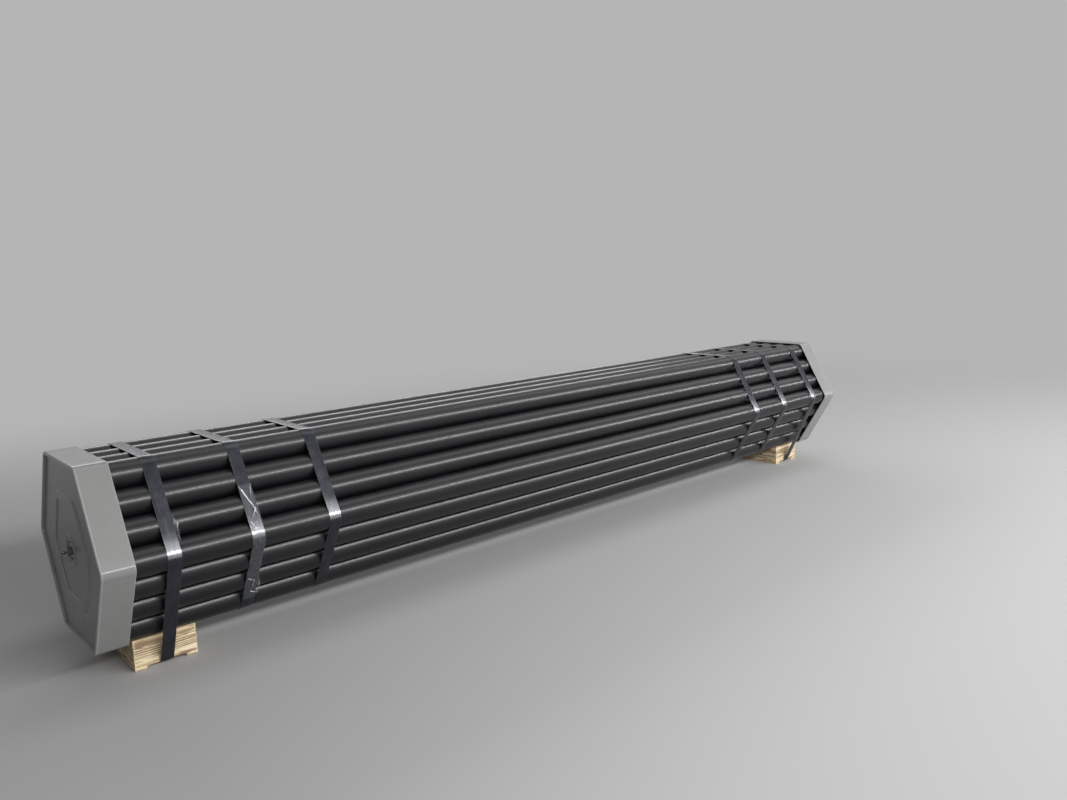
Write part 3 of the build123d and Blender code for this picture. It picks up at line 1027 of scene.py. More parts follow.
@dataclass
class EndCap:
    """Moulded end cap: skirt, rim, embossed ring and hub, and the seat of the nut.

    Attributes:
        plain_radius: Where the round middle gives way to the hexagon, on the flat of the face.
        hub_steps: Widths of the steps up to the hub and down from it; ring_steps are those of the ring.
        ring_lead: How far before its line the step up to the ring starts.
        hole_ease: Easing of the hole's edges.
        seat_bend: Radius of the bends of the seat; rim_root is that of the bend into the rim.
        flat_lead: Length of flat that is kept beside a bend, so that it stays crisp.
        step_lead: The same beside a step, as a share of the step's width.
        rim_run: Length of flat that leads up to the rim.
        rim_root_lead: How far from the rim it ends, in radii of the bend into the rim.
    """

    shop: Workshop
    end: End
    wall: float = 0.0045
    face: float = 0.004
    depth: float = 0.074
    clearance: float = 0.0006
    corner: float = 0.022
    lip: float = 0.0015
    rim_width: float = 0.009
    rim_height: float = 0.006
    rim_rounding: float = 0.004
    rim_inner: float = 0.0022
    rim_root: float = 0.0020
    rim_run: float = 0.040
    rim_root_lead: float = 1.75
    ring_apothem: float = 0.114
    ring_width: float = 0.024
    ring_height: float = 0.003
    ring_corner: float = 0.016
    ring_steps: Point = (0.0022, 0.0050)
    ring_lead: float = 0.0008
    seat_clearance: float = 0.002
    seat_depth: float = 0.004
    seat_bend: float = 0.0010
    hub_land: float = 0.007
    hub_width: float = 0.010
    hub_height: float = 0.0025
    hub_steps: Point = (0.0024, 0.0030)
    hole_radius: float = 0.007
    hole_ease: float = 0.0004
    plain_radius: float = 0.060
    flat_lead: float = 0.0008
    step_lead: float = 0.15
    corner_steps: int = 10
    side_steps: int = 6
    arc_steps: int = 6

    @property
    def inner(self) -> float:
        """Distance from the axis to the inside of the skirt."""
        return SIZES.envelope + self.clearance

    @property
    def outer(self) -> float:
        """Distance from the axis to the outside of the skirt."""
        return self.inner + self.wall

    def corner_radius(self, apothem: float) -> float:
        """Rounding of the hexagon's corners at a distance from the axis."""
        stops = [(self.ring_apothem, self.ring_corner),
                 (self.ring_apothem + self.ring_width, self.ring_corner + self.ring_width),
                 (self.outer - self.rim_width, self.corner - self.rim_width), (self.outer, self.corner)]
        if apothem <= stops[0][0]:
            return stops[0][1]
        for (a, low), (b, high) in zip(stops, stops[1:]):
            if apothem <= b:
                return low + (high - low) * (apothem - a) / (b - a)
        return stops[-1][1]

    def hexagon(self, apothem: float) -> list[Point]:
        """Points round a rounded hexagon with a level top, anticlockwise from the +Y corner."""
        radius, half = self.corner_radius(apothem), CORNER_TURN / 2
        reach = (apothem - radius) / math.cos(math.radians(half))
        points = []
        for middle in range(0, 360, CORNER_TURN):
            after = middle + CORNER_TURN
            points += arc(polar(reach, middle), radius, middle - half, middle + half, self.corner_steps)
            points += between(points[-1], polar(radius, after - half, polar(reach, after)), self.side_steps)
        return points

    def outline(self, station: Station) -> list[Point]:
        """Points round the cap at a station; a circle's lie at the angles of a hexagon's."""
        if station.outline is Outline.HEXAGON:
            return self.hexagon(station.distance)
        guide = self.hexagon(self.ring_apothem)
        return [(station.distance * y / math.hypot(y, z), station.distance * z / math.hypot(y, z)) for y, z in guide]

    def section(self) -> list[Station]:
        """Stations from the hole across the face, round the skirt and back inside."""
        stations: list[Station] = []

        def line(outline: Outline, points: Iterable[Point], edge: float = 0.0) -> None:
            """Adds stations, each given as its distance and its depth."""
            stations.extend(Station(distance, depth, outline, edge) for distance, depth in points)

        def bend(outline: Outline, centre: Point, radius: float, start: int, steps: int, edge: float = 0.0) -> None:
            """Adds a quarter of a circle, which turns back where the radius is below zero."""
            line(outline, arc(centre, abs(radius), start, start + math.copysign(90, radius), steps), edge)

        def step(outline: Outline, start: float, across: float, low: float, high: float, edge: float = 0.0) -> None:
            """Adds a soft S-shaped step from one depth to another, with its further part marked as an edge, where the
            cap's finish lays its painted highlight.
            """
            line(outline, [(start - self.step_lead * across, low)])
            for i in range(self.arc_steps + 1):
                t = i / self.arc_steps
                line(outline, [(start + across * t, low + (high - low) * t * t * (3 - 2 * t))], edge if i > 2 else 0.0)
            line(outline, [(start + (1 + self.step_lead) * across, high)])

        circle, hexagon = Outline.CIRCLE, Outline.HEXAGON
        face, ease, seat_bend, lip = self.rim_height, self.hole_ease, self.seat_bend, self.lip
        back, floor = face + self.face, face + self.seat_depth
        plug = SIZES.pipe_radius - SIZES.pipe_wall - self.seat_clearance
        seat = plug - self.face
        hub, hub_top = seat + self.hub_land, face - self.hub_height
        ring_end, ring_top = self.ring_apothem + self.ring_width, face - self.ring_height
        rim, lip_depth = self.outer - self.rim_width, self.depth - lip
        line(circle, [(self.hole_radius, floor + self.face - ease), (self.hole_radius, floor + ease)])
        line(circle, [(self.hole_radius + ease, floor), (seat - seat_bend - ease / 2, floor)])
        bend(circle, (seat - seat_bend, floor - seat_bend), -seat_bend, 90, steps=3)
        bend(circle, (seat + seat_bend, face + seat_bend), seat_bend, 180, steps=4, edge=0.4)
        step(circle, hub, self.hub_steps[0], face, hub_top, edge=0.8)
        step(circle, hub + self.hub_width - self.hub_steps[1], self.hub_steps[1], hub_top, face)
        line(circle, [(self.plain_radius, face)])
        step(hexagon, self.ring_apothem - self.ring_lead, self.ring_steps[0], face, ring_top, edge=1.0)
        step(hexagon, ring_end - self.ring_steps[1], self.ring_steps[1], ring_top, face, edge=0.45)
        line(hexagon, [(rim - self.rim_run, face), (rim - self.rim_root_lead * self.rim_root, face)])
        bend(hexagon, (rim - self.rim_root, face - self.rim_root), -self.rim_root, 90, steps=4)
        bend(hexagon, (rim + self.rim_inner, self.rim_inner), self.rim_inner, 180, self.arc_steps, edge=0.9)
        shoulder = self.rim_rounding
        bend(hexagon, (self.outer - shoulder, shoulder), shoulder, -90, self.arc_steps + 2, edge=1.0)
        line(hexagon, [(self.outer, shoulder + lip), (self.outer, self.depth / 2),
                       (self.outer, lip_depth - self.flat_lead)])
        bend(hexagon, (self.outer - lip, lip_depth), lip, 0, steps=4, edge=0.7)
        bend(hexagon, (self.inner + lip, lip_depth), lip, 90, steps=4, edge=0.3)
        line(hexagon, [(self.inner, lip_depth - self.flat_lead), (self.inner, back + seat_bend),
                       (self.inner - seat_bend, back)])
        line(circle, [(self.plain_radius, back), (plug, back), (plug, floor + self.face),
                      (self.hole_radius + ease, floor + self.face)])
        return stations

    def build(self) -> None:
        """Builds the cap and puts it in place of its solid."""
        rings, edges = [], []
        for station in self.section():
            x = self.end.value * (SIZES.half_length - station.depth)
            rings.append([Vector((x, y, SIZES.axis_height + z)) for y, z in self.outline(station)])
            edges += [station.edge] * len(rings[-1])
        points, faces = bridged(rings, closed=True)
        if self.end is End.LEFT:
            faces = turned_round(faces)
        side = self.end.name.lower()
        data = mesh_of("moulded_cap", points, faces, edge=edges)
        self.shop.settle(self.shop.dress(f"moulded_cap_{side}", data, Slot.CAP, 50.0), Slot.CAP, f"end_cap_{side}")


@dataclass
class TieRodSet:
    """Tie rod with its nuts and washers.

    Attributes:
        rod_tip: How far the rod stands out of a cap.
        threaded: Length of the thread at each end.
        plain_relief: How much thinner the plain middle is than the thread.
        nut_face: Depth of a nut's seat behind the front of a cap.
        nut_land: Share of the nut's apothem that stays flat.
        hole_ease: Depth and width of the easing of a nut's hole.
        bevel_shares: Shares of the way from the land to the flats at which a nut's bevel has its rings.
        around: Points round a nut or washer.
        thread_sides: Points round the rod; thread_steps and plain_steps are the steps along a thread and the middle.
    """

    shop: Workshop
    rod_radius: float = 0.006
    rod_tip: float = 0.017
    thread_pitch: float = 0.00175
    thread_depth: float = 0.00095
    threaded: float = 0.060
    plain_relief: float = 0.0004
    tip_chamfer: float = 0.0015
    nut_apothem: float = 0.0095
    nut_height: float = 0.010
    nut_face: float = 0.007
    nut_land: float = 0.95
    hole_ease: Point = (0.0006, 0.0007)
    bevel_shares: tuple[float, ...] = (0.35, 0.7, 1.0)
    washer_radius: float = 0.0185
    washer_hole: float = 0.007
    washer_thickness: float = 0.003
    washer_ease: float = 0.0006
    bore_gap: float = 0.00015
    around: int = 72
    thread_sides: int = 36
    thread_steps: int = 410
    plain_steps: int = 4

    def rod(self) -> None:
        """Builds the rod, threaded at both ends."""
        tree = thread_tree()
        tip, height = SIZES.half_length + self.rod_tip, SIZES.axis_height
        common = {"Radius": self.rod_radius, "Pitch": self.thread_pitch, "Sides": self.thread_sides}
        thread = {**common, "Length": self.threaded, "Depth": self.thread_depth, "Chamfer": self.tip_chamfer,
                  "Steps": self.thread_steps}
        trees = [(tree, {**thread, "Centre": (end.value * (tip - self.threaded / 2), 0.0, height)}) for end in End]
        trees.append((tree, {**common, "Radius": self.rod_radius - self.plain_relief, "Depth": 0.0, "Chamfer": 0.0,
                             "Length": 2 * (tip - self.threaded), "Centre": (0.0, 0.0, height),
                             "Steps": self.plain_steps}))
        self.shop.settle(self.shop.grow("threaded_tie_rod", trees, Slot.ZINC, 40.0), Slot.ZINC, "tie_rod")

    def ring(self, x: float, radius: Callable[[float], float]) -> Ring:
        """A ring round the rod at x, with a radius for each angle."""
        turns = [2 * math.pi * i / self.around for i in range(self.around)]
        return [Vector((x, radius(t) * math.cos(t), SIZES.axis_height + radius(t) * math.sin(t))) for t in turns]

    def nut_rings(self, end: End) -> list[Ring]:
        """Rings of a nut, bevelled at both of its ends, from its seat outwards."""

        def across(turn: float) -> float:
            """Distance from the axis to the hexagon at an angle."""
            return self.nut_apothem / math.cos((turn + math.pi / 6) % (math.pi / 3) - math.pi / 6)

        land, hole = self.nut_apothem * self.nut_land, self.rod_radius + self.bore_gap
        deep, wide = self.hole_ease
        seat = end.value * (SIZES.half_length - self.nut_face)
        rings = []
        for face_x, way in ((seat, end.value), (seat + end.value * self.nut_height, -end.value)):
            half = [self.ring(face_x + way * deep, lambda t: hole), self.ring(face_x, lambda t: hole + wide),
                    self.ring(face_x, lambda t: land)]
            for share in self.bevel_shares:
                ring = self.ring(face_x, lambda t: land + (across(t) - land) * share)
                for i, point in enumerate(ring):
                    rise = (across(2 * math.pi * i / self.around) - land) * share
                    point.x += way * rise * math.tan(math.radians(CORNER_TURN / 2))
                half.append(ring)
            rings += half if way == end.value else half[::-1]
        return rings

    def washer_rings(self, end: End) -> list[Ring]:
        """Rings of a washer, rounded on its edges."""
        ease, front = self.washer_ease, SIZES.half_length - self.nut_face
        back = front - self.washer_thickness
        corners = ((self.washer_hole + ease, back + ease, 270), (self.washer_hole + ease, front - ease, 180),
                   (self.washer_radius - ease, front - ease, 90), (self.washer_radius - ease, back + ease, 0))
        outline = [point for a, x, start in corners for point in arc((a, x), ease, start, start - 90, 3)]
        return [self.ring(end.value * x, lambda t: distance) for distance, x in outline]

    def pair(self, name: str, rings: Callable[[End], list[Ring]], smooth_angle: float, node: str) -> None:
        """Builds a like piece at both ends as one mesh.

        Args:
            name: Name of the piece.
            rings: Gives the rings at an end.
            smooth_angle: Edges that turn more than this many degrees stay sharp.
            node: Node that it stands for.
        """
        points, faces = [], []
        for end in End:
            made, quads = bridged(rings(end), closed=True)
            start = len(points)
            points += made
            faces += [[start + i for i in quad] for quad in (turned_round(quads) if end is End.LEFT else quads)]
        piece = self.shop.dress(name, mesh_of(name, points, faces), Slot.ZINC, smooth_angle)
        self.shop.settle(piece, Slot.ZINC, node)

    def build(self) -> None:
        """Builds the set."""
        self.rod()
        self.pair("hexagon_nuts", self.nut_rings, 25.0, "nuts")
        self.pair("plain_washers", self.washer_rings, 35.0, "washers")


def tight_path(circles: Sequence[Circle], distance: float, step: float = 0.006, turn: float = 4.0) -> list[Point]:
    """Line of a band pulled tight round circles in the plane across the bundle.

    Args:
        circles: Circles that it goes round, anticlockwise, each as y, z and radius.
        distance: Distance that it keeps from them.
        step: Length of its pieces between the bends.
        turn: Most that it turns from one point of a bend to the next, in degrees.

    Returns:
        Points round the path, anticlockwise, close together on the bends.
    """
    after = [*circles[1:], circles[0]]
    leaving = [math.atan2(z1 - z0, y1 - y0) - math.acos((r0 - r1) / math.hypot(y1 - y0, z1 - z0))
               for (y0, z0, r0), (y1, z1, r1) in zip(circles, after)]
    found: list[Point] = []
    for i, ((y, z, r), (next_y, next_z, next_r)) in enumerate(zip(circles, after)):
        start, end = leaving[i - 1], leaving[i]
        while end < start:
            end += 2 * math.pi
        bends = max(2, math.ceil((end - start) / math.radians(turn)))
        found += arc((y, z), r + distance, math.degrees(start), math.degrees(end), bends)
        goal = polar(next_r + distance, math.degrees(end), (next_y, next_z))
        found += between(found[-1], goal, max(2, round(math.dist(found[-1], goal) / step)))
    return found


def corner_pipes() -> list[Circle]:
    """The six corner pipes across the bundle, anticlockwise from +Y, each as y, z and radius."""
    reach = SIZES.rows_from_middle * SIZES.pipe_pitch
    return [(*polar(reach, turn, (0.0, SIZES.axis_height)), SIZES.pipe_radius) for turn in range(0, 360, CORNER_TURN)]


@dataclass
class Strapping:
    """Six flat straps, of which the outermost two also hold the bearers, and their seals."""

    shop: Workshop
    width: float = 0.032
    thickness: float = 0.0009
    gap: float = 0.0003
    left_offsets: tuple[float, ...] = (0.160, 0.360, 0.567)
    right_offsets: tuple[float, ...] = (0.155, 0.376, 0.573)
    bearer_length: float = 0.230
    groove_depth: float = 0.006
    crushed_radius: float = 0.004
    easing: float = 0.00035
    seed_step: float = 3.7

    def places(self) -> list[tuple[float, bool]]:
        """Place of each strap along X, from the left, and whether it holds a bearer."""
        left = [(-SIZES.half_length + offset, i == 0) for i, offset in enumerate(self.left_offsets)]
        right = [(SIZES.half_length - offset, i == 0) for i, offset in enumerate(self.right_offsets)]
        return left + right[::-1]

    def build(self) -> None:
        """Builds the straps and dresses the seals."""
        tree = strip_tree()
        held, r = corner_pipes(), self.crushed_radius
        y, z = self.bearer_length / 2 - r, self.groove_depth + r
        held_with_bearer = [*held[:4], (-y, z, r), (y, z, r)]
        for number, (x, holds_bearer) in enumerate(self.places(), start=1):
            outline = tight_path(held_with_bearer if holds_bearer else held, self.gap + self.thickness / 2)
            joins = [(i, (i + 1) % len(outline)) for i in range(len(outline))]
            path = set_out("strap path", mesh_of("strap path", [(x, *point) for point in outline], edges=joins))
            values = {"Path": path, "Width": self.width, "Thickness": self.thickness, "Easing": self.easing,
                      "Mark": number * self.seed_step}
            piece = self.shop.grow(f"steel_strap_{number}", [(tree, values)], Slot.STRAP, 40.0)
            bpy.data.objects.remove(path)
            self.shop.settle(piece, Slot.STRAP, f"strap_{number}")
            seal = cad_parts[f"strap_seal_{number}"]
            seal.data.materials.clear()
            seal.data.materials.append(self.shop.finishes[Slot.STRAP])
            log.info("strap_seal_%d: dressed", number)


@dataclass
class Bearer:
    """Laminated bearer with a groove underneath for its strap.

    Attributes:
        seed: Draws its plies' sizes and tones.
        crushed_radius: Rounding of the plies over which the strap bends.
        strap_clearance: Gap that is kept between them and the strap.
        raggedness: How much smaller than the others a ply may be.
        fray: How deep the sawn faces are frayed.
        fray_scale: How fine the fraying is along the plies and across them.
        fray_shift: How far it moves from one bearer to the other, so that they differ.
        fine_fray: How many times finer its second layer is, and that layer's share of the depth.
        sawn_margin: Depth behind a sawn face in which a ply's edge counts as sawn, in units of raggedness.
        outer_share: Share of the outermost plies that is marked as worn.
    """

    shop: Workshop
    end: End
    strap_x: float
    seed: int
    ply: float = 0.003
    plies: int = 26
    width: float = 0.150
    length: float = 0.230
    groove_width: float = 0.095
    groove_plies: int = 2
    crushed_radius: float = 0.004
    strap_clearance: float = 0.0001
    raggedness: float = 0.0008
    fray: float = 0.0008
    fray_scale: Point = (60.0, 400.0)
    fray_shift: float = 9.0
    fine_fray: Point = (4.1, 0.7)
    sawn_margin: float = 2.1
    outer_share: float = 0.4

    def soften(self, data: bpy.types.Mesh) -> None:
        """Rounds the plies over which the strap bends, frays the sawn faces and marks them and their corners."""
        roof, top, r = self.groove_plies * self.ply, self.plies * self.ply, self.crushed_radius
        margin, outer = self.sawn_margin * self.raggedness, self.outer_share * self.ply
        finer, fine_share = self.fine_fray
        sawn, worn = [], []
        for vertex in data.vertices:
            x, y, z = vertex.co
            along, upward = self.fray_scale
            place = Vector((x * along, y * along, z * upward + self.end.value * self.fray_shift))
            fray = abs(self.fray * (noise.noise(place) + noise.noise(place * finer) * fine_share))
            on_side = abs(x - self.strap_x) > self.width / 2 - margin
            on_end = abs(y) > self.length / 2 - margin
            if on_end:
                vertex.co.y -= math.copysign(fray, y)
            if on_side:
                vertex.co.x -= math.copysign(fray, x - self.strap_x)
            height = z - roof
            if height > -TOUCH and abs(x - self.strap_x) < self.groove_width / 2:
                bite = r - math.sqrt(max(0.0, r * r - max(0.0, r - height) ** 2))
                limit = self.length / 2 - bite - self.strap_clearance
                vertex.co.y = max(-limit, min(limit, vertex.co.y))
            sawn.append(float(on_side or on_end))
            worn.append(float((on_side and on_end) or z < outer or z > top - outer))
        for label, values in (("edge", sawn), ("worn_end", worn)):
            data.attributes.new(label, "FLOAT", "POINT").data.foreach_set("value", values)

    def build(self) -> None:
        """Builds the bearer out of its plies: two strips beside the groove and a stack on them."""
        foot, groove = (self.width - self.groove_width) / 2, self.groove_plies
        stacks = [(self.strap_x + side * (self.groove_width + foot) / 2, 0, groove, foot) for side in (-1, 1)]
        stacks.append((self.strap_x, groove, self.plies - groove, self.width))
        common = {"Ply Thickness": self.ply, "Length": self.length, "Raggedness": self.raggedness, "Seed": self.seed}
        tree = ply_stack_tree()
        trees = [(tree, {**common, "Plies": plies, "Width": width, "First Ply": first,
                         "Base": (x, 0.0, first * self.ply)}) for x, first, plies, width in stacks]
        side_name = self.end.name.lower()
        piece = self.shop.grow(f"veneer_bearer_{side_name}", trees, Slot.WOOD, 35.0)
        self.soften(piece.data)
        self.shop.settle(piece, Slot.WOOD, f"bearer_{side_name}")


@dataclass(frozen=True)
class Crease:
    """Straight crease of the film, across it from 0 to 1 and up it in rows of pipes.

    Attributes:
        start: Where it starts.
        end: Where it ends.
        width: How wide it is, in the same units.
        sharpness: How sharp its line is.
        end_height: Height at its end; middle_rise is what the highest place has above that.
        lead: How far before its middle the highest place lies, as a share of its length.
    """

    start: Point
    end: Point
    width: float
    sharpness: float = 1.5
    end_height: float = 0.55
    middle_rise: float = 0.45
    lead: float = 0.15

    def ridge(self, place: Point) -> float:
        """How near a point of the film is to the crease, from 0 to 1 on its line."""
        along, offset = Vector(self.end) - Vector(self.start), Vector(place) - Vector(self.start)
        share = min(1.0, max(0.0, offset.dot(along) / along.length_squared))
        gap = (offset - along * share).length / self.width
        height = self.end_height + self.middle_rise * math.sin(math.pi * min(1.0, share + self.lead))
        return max(0.0, 1.0 - gap) ** self.sharpness * height


@dataclass(frozen=True)
class Swell:
    """A smooth bulge of the film's right edge: its height, and its middle and reach in rows of pipes."""

    height: float
    middle: float
    reach: float

    def at(self, row: float) -> float:
        """How far the edge stands out at a row."""
        return self.height * max(0.0, 1.0 - ((row - self.middle) / self.reach) ** 2)


@dataclass(frozen=True)
class FilmPiece:
    """One torn piece of film on the near side of the bundle.

    Attributes:
        name: Name of the piece.
        node: Node that it stands for.
        rests_on: Piece that it lies on.
        start: Its lower end along X.
        width: How wide it lies.
        distance: Distance at which its path runs round the pipes.
        rows: Lowest and highest place, in rows of pipes above the axis.
        lift: How far its creases stand out.
        swells: Bulges of its right edge.
        creases: Its creases.
        cut_width: Width of the flat strip that it was torn from; not used.
        torn_to: Share of that strip that is left; not used.
    """

    name: str
    node: str
    rests_on: str
    start: float
    width: float
    distance: float
    rows: Point
    lift: float
    swells: tuple[Swell, ...]
    creases: tuple[Crease, ...]
    cut_width: float
    torn_to: float


# The film's painted highlights follow these creases, which lie above the side corner pipe and on the torn tail low
# down, and leave the shaded part between them clear.
LONG_CREASES = (
    ((0.04, 1.95), (0.50, 1.32), 0.13), ((0.20, 1.80), (0.62, 1.22), 0.10), ((0.96, 1.98), (0.62, 1.40), 0.12),
    ((0.62, 1.30), (0.92, 0.66), 0.12), ((0.84, 1.12), (0.16, 0.62), 0.10), ((0.16, 0.62), (0.44, 0.36), 0.10),
    ((0.06, 0.36), (0.96, 0.42), 0.09), ((0.30, 0.20), (0.98, 0.26), 0.08), ((0.98, 1.70), (1.00, 0.50), 0.06),
    ((0.10, -1.90), (0.62, -2.05), 0.10), ((0.62, -2.05), (0.50, -2.60), 0.10), ((0.50, -2.60), (1.00, -2.75), 0.10),
    ((0.92, -2.00), (0.98, -2.70), 0.09))
SHORT_CREASES = (((0.0, 1.45), (1.0, 1.15), 0.16), ((1.0, 1.15), (0.3, 0.80), 0.14), ((0.3, 0.80), (1.0, 0.55), 0.14))


@dataclass
class TornFilm:
    """Crinkled clear film left on the straps at the near side.

    Attributes:
        gap: Gap under the film; side_gap is how far it stands out beside a strap.
        cell: Size of its mesh's cells.
        raggedness: How ragged its long edges are; ragged_scales is how finely, in two layers.
        softness: Height of the gentle folds between the creases, as a share of the lift.
        soft_scales: How fine they are across the film and up it.
        highest: Most that folds rise together, as a share of the lift.
    """

    shop: Workshop
    strapping: Strapping
    gap: float = 0.0004
    side_gap: float = 0.0005
    thickness: float = 0.00008
    cell: float = 0.0016
    raggedness: float = 0.0008
    ragged_scales: Point = (90.0, 260.0)
    softness: float = 0.15
    soft_scales: Point = (110.0, 70.0)
    highest: float = 1.2

    def sheet(self, cut: FilmPiece) -> None:
        """Builds one piece of film."""
        level, pitch = SIZES.axis_height, SIZES.row_pitch
        outline = [(y, z) for y, z in tight_path(corner_pipes(), cut.distance, self.cell)
                   if y < 0 and cut.rows[0] <= (z - level) / pitch <= cut.rows[1]]
        columns = max(5, round(cut.width / self.cell))
        (coarse, fine), (across, upward) = self.ragged_scales, self.soft_scales
        points, folds = [], []
        for y, z in outline:
            out, row = Vector((y, z - level)).normalized(), (z - level) / pitch
            finer = 0.5 * noise.noise(Vector((z * fine, cut.start, 4.0)))
            ragged = self.raggedness * (noise.noise(Vector((z * coarse, cut.start, 0.0))) + finer)
            flare = sum(swell.at(row) for swell in cut.swells)
            for i in range(columns + 1):
                u = i / columns
                x = cut.start + cut.width * u + flare * u ** 3 + ragged * (2 * u - 1)
                height = sum(crease.ridge((u, row)) for crease in cut.creases)
                soft = self.softness * (1 + noise.noise(Vector((x * across, z * upward, 2.0))))
                rise = cut.lift * min(self.highest, height + soft)
                points.append(Vector((x, y + out.x * rise, z + out.y * rise)))
                folds.append(min(1.0, height))
        corners = [row * (columns + 1) + i for row in range(len(outline) - 1) for i in range(columns)]
        faces = [[a, a + 1, a + columns + 2, a + columns + 1] for a in corners]
        piece = self.shop.dress(cut.name, mesh_of(cut.name, points, faces, fold=folds), Slot.FILM, 60.0)
        shell = piece.modifiers.new("thickness", "SOLIDIFY")
        shell.thickness, shell.offset = self.thickness, 0.0
        thick = evaluated(piece)
        piece.modifiers.remove(shell)
        piece.data = thick
        self.shop.settle(piece, Slot.FILM, cut.node)

    def build(self) -> None:
        """Builds the strip along the second strap and the scrap beside the first."""
        straps = self.strapping
        (first_x, _), (second_x, _) = straps.places()[:2]
        edge = straps.width / 2 + self.side_gap
        self.sheet(FilmPiece("film_on_strap", "film_strip", "steel_strap_2", start=second_x - edge, width=2 * edge,
                             distance=straps.gap + straps.thickness + self.gap, rows=(-3.0, 2.0), lift=0.0026,
                             swells=(Swell(0.001, 0.3, 0.5), Swell(0.007, -2.4, 0.5)),
                             creases=tuple(Crease(*crease) for crease in LONG_CREASES),
                             cut_width=2 * edge, torn_to=1.0))
        self.sheet(FilmPiece("film_shard", "film_scrap", "coated_pipes_5", start=first_x + edge, width=0.0025,
                             distance=self.gap, rows=(0.5, 1.5), lift=0.0032, swells=(Swell(0.006, 1.0, 0.45),),
                             creases=tuple(Crease(*crease) for crease in SHORT_CREASES),
                             cut_width=0.010, torn_to=0.83))


@dataclass(frozen=True)
class Lamp:
    """Rectangular soft lamp with its long side along X: its size, place, aim and power in watts."""

    name: str
    size: Point
    place: tuple[float, float, float]
    aim: tuple[float, float, float]
    power: float

    def hang(self) -> None:
        """Hangs the lamp."""
        light = bpy.data.lights.new(self.name, "AREA")
        light.shape = "RECTANGLE"
        light.size, light.size_y = self.size
        light.energy = self.power
        lamp = set_out(self.name, light)
        lamp.location = self.place
        down = (Vector(self.aim) - Vector(self.place)).normalized()
        along = Vector((1.0, 0.0, 0.0))
        lamp.rotation_euler = Matrix((along, -down.cross(along), -down)).transposed().to_euler()


LAMPS = (Lamp("near strip", (9.2, 0.42), (2.95, -3.43, 2.0), (2.95, -0.25, 0.3), 310.0),
         Lamp("end strip", (1.5, 0.42), (-2.45, -3.43, 2.0), (-1.9, -0.25, 0.3), 17.0),
         Lamp("overhead panel", (11.0, 1.6), (4.0, -0.3, 3.3), (4.0, -0.3, 0.3), 62.0),
         Lamp("far panel", (9.0, 1.2), (2.8, 5.0, 3.2), (2.8, 0.0, 0.3), 170.0))


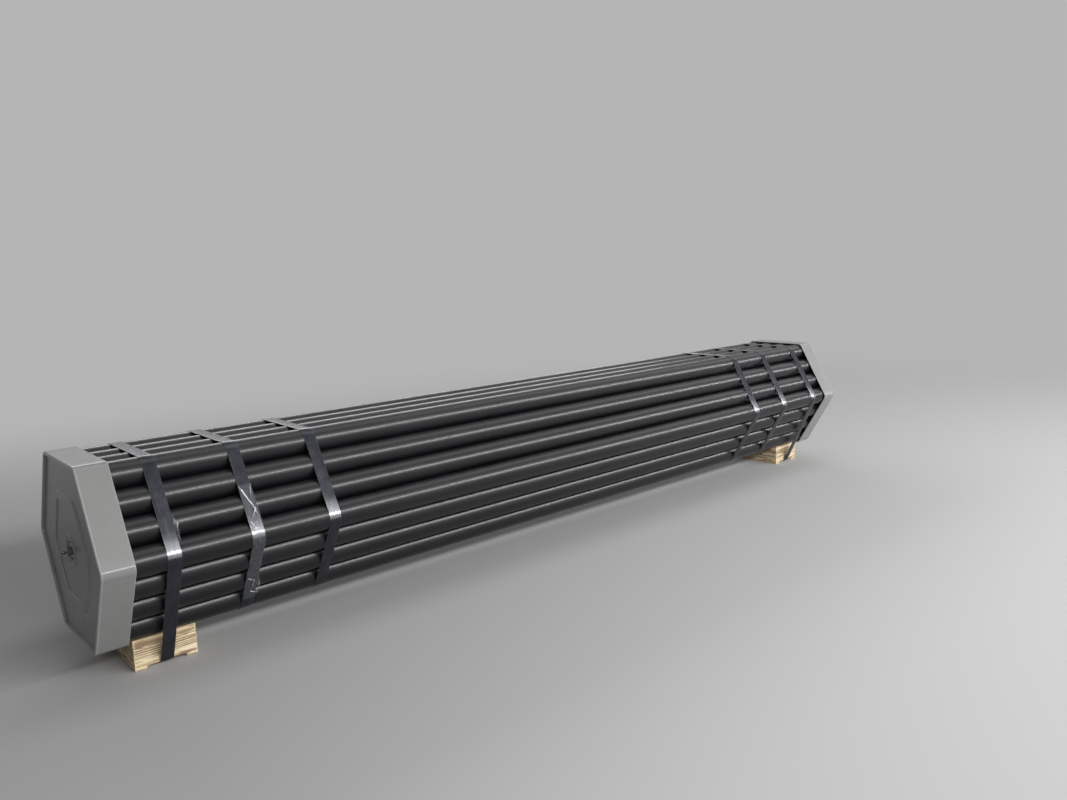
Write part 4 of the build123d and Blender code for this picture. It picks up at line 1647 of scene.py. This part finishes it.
@dataclass
class Studio:
    """Pale stage, soft lamps and the camera.

    Attributes:
        fade: Distances from the bundle between which the floor takes the backdrop's tone.
        dimmest: Share of its tone that the floor keeps in its darker clouds.
        camera_place: Where the camera stands; its yaw, pitch and roll are in radians.
        focal_pixels: Focal length in pixels of a frame of frame_width.
    """

    floor_tone: float = 0.46
    dimmest: float = 0.985
    floor_rings: tuple[float, ...] = (0.001, 1.0, 2.0, 4.0, 7.0, 12.0, 22.0, 45.0)
    around: int = 96
    fade: Point = (0.9, 4.2)
    world_level: float = 0.035
    camera_place: tuple[float, float, float] = (-1.9896, -2.2028, 0.9523)
    camera_yaw: float = 0.7261
    camera_pitch: float = 0.1675
    camera_roll: float = -0.0320
    focal_pixels: float = 871.9
    frame_width: float = 1067.0
    sensor: float = 36.0
    sight: float = 60.0

    @property
    def backdrop(self) -> dict[str, object]:
        """Inputs of a shader that shows the backdrop's tone."""
        return {"Color": (self.floor_tone, self.floor_tone, self.floor_tone, 1.0), "Strength": 1.0}

    @staticmethod
    def seen(wires: Wiring) -> Socket:
        """1 where the camera, a reflection or a clear surface looks, and 0 for the light that falls on the bundle."""
        path = wires.put("ShaderNodeLightPath").outputs
        straight = wires.math("MAXIMUM", path["Is Camera Ray"], path["Is Transmission Ray"])
        return wires.math("MAXIMUM", straight, path["Is Glossy Ray"])

    def paint(self) -> bpy.types.Material:
        """Makes the floor's material, which fades into the backdrop's tone away from the bundle."""
        material = bpy.data.materials.new("pale stage")
        wires = Wiring.cleared(material)
        place = wires.place()
        pale = [self.floor_tone] * 3
        colour = wires.blend(wires.noise(place, 1.2, 2.0), [tone * self.dimmest for tone in pale], pale)
        painted = wires.out("ShaderNodeBsdfPrincipled", {"Base Color": colour, "Roughness": 0.85,
                                                         "Specular IOR Level": 0.1})
        glow = wires.out("ShaderNodeEmission", self.backdrop)
        x, y, _ = wires.split(place)
        past_end = wires.math("MAXIMUM", wires.minus(wires.math("ABSOLUTE", x), SIZES.half_length), 0.0)
        away = wires.math("SQRT", wires.math("MULTIPLY_ADD", y, y, wires.times(past_end, past_end)))
        share = wires.times(wires.span(away, *self.fade), self.seen(wires))
        mixed = wires.out("ShaderNodeMixShader", {0: share, 1: painted, 2: glow})
        wires.put("ShaderNodeOutputMaterial", {"Surface": mixed})
        return material

    def stage(self) -> None:
        """Builds the level floor."""
        turns = [2 * math.pi * i / self.around for i in range(self.around)]
        rings = [[Vector((r * math.cos(t), r * math.sin(t), 0.0)) for t in turns] for r in self.floor_rings]
        points, faces = bridged(rings, closed=False)
        floor = set_out("stage", mesh_of("stage", points, turned_round(faces) + [list(range(self.around))]))
        floor.data.materials.append(self.paint())

    def lights(self) -> None:
        """Hangs the lamps and sets the world's level."""
        for lamp in LAMPS:
            lamp.hang()
        world = bpy.data.worlds.new("soft room")
        wires = Wiring.cleared(world)
        light = wires.out("ShaderNodeBackground", {"Color": (1.0, 1.0, 1.0, 1.0), "Strength": self.world_level})
        shown = wires.out("ShaderNodeBackground", self.backdrop)
        mixed = wires.out("ShaderNodeMixShader", {0: self.seen(wires), 1: light, 2: shown})
        wires.put("ShaderNodeOutputWorld", {"Surface": mixed})
        bpy.context.scene.world = world

    def camera(self) -> None:
        """Sets the camera where the photograph was taken from."""
        pitch, yaw, roll = self.camera_pitch, self.camera_yaw, self.camera_roll
        ahead = Vector((math.sin(yaw) * math.cos(pitch), math.cos(yaw) * math.cos(pitch), -math.sin(pitch)))
        right = ahead.cross(Vector((0, 0, 1))).normalized()
        up = right.cross(ahead)
        tilted_right = math.cos(roll) * right + math.sin(roll) * up
        tilted_up = -math.sin(roll) * right + math.cos(roll) * up
        axes = Matrix((tilted_right, tilted_up, -ahead)).transposed().to_4x4()
        lens = bpy.data.cameras.new("camera")
        lens.sensor_width = self.sensor
        lens.lens = self.focal_pixels / self.frame_width * self.sensor
        lens.clip_end = self.sight
        camera = set_out("camera", lens)
        camera.matrix_world = Matrix.Translation(Vector(self.camera_place)) @ axes
        bpy.context.scene.camera = camera

    def build(self) -> None:
        """Sets up the stage, the lamps and the camera."""
        self.stage()
        self.lights()
        self.camera()
        bpy.context.scene.view_settings.view_transform = "Standard"


def main() -> None:
    """Builds every piece of the bundle and the studio round it."""
    logging.basicConfig(level=logging.INFO, format="%(name)s: %(message)s")
    shop = Workshop()
    shop.stock(PipeCoating(), CapPlastic(), StrapSteel(), VeneerWood(), ZincPlate(), ClearFilm())
    PipeStack(shop).build()
    for end in End:
        EndCap(shop, end).build()
    TieRodSet(shop).build()
    strapping = Strapping(shop)
    strapping.build()
    places = strapping.places()
    Bearer(shop, End.LEFT, places[0][0], seed=11).build()
    Bearer(shop, End.RIGHT, places[-1][0], seed=23).build()
    TornFilm(shop, strapping).build()
    Studio().build()


if __name__ == "__main__":
    main()
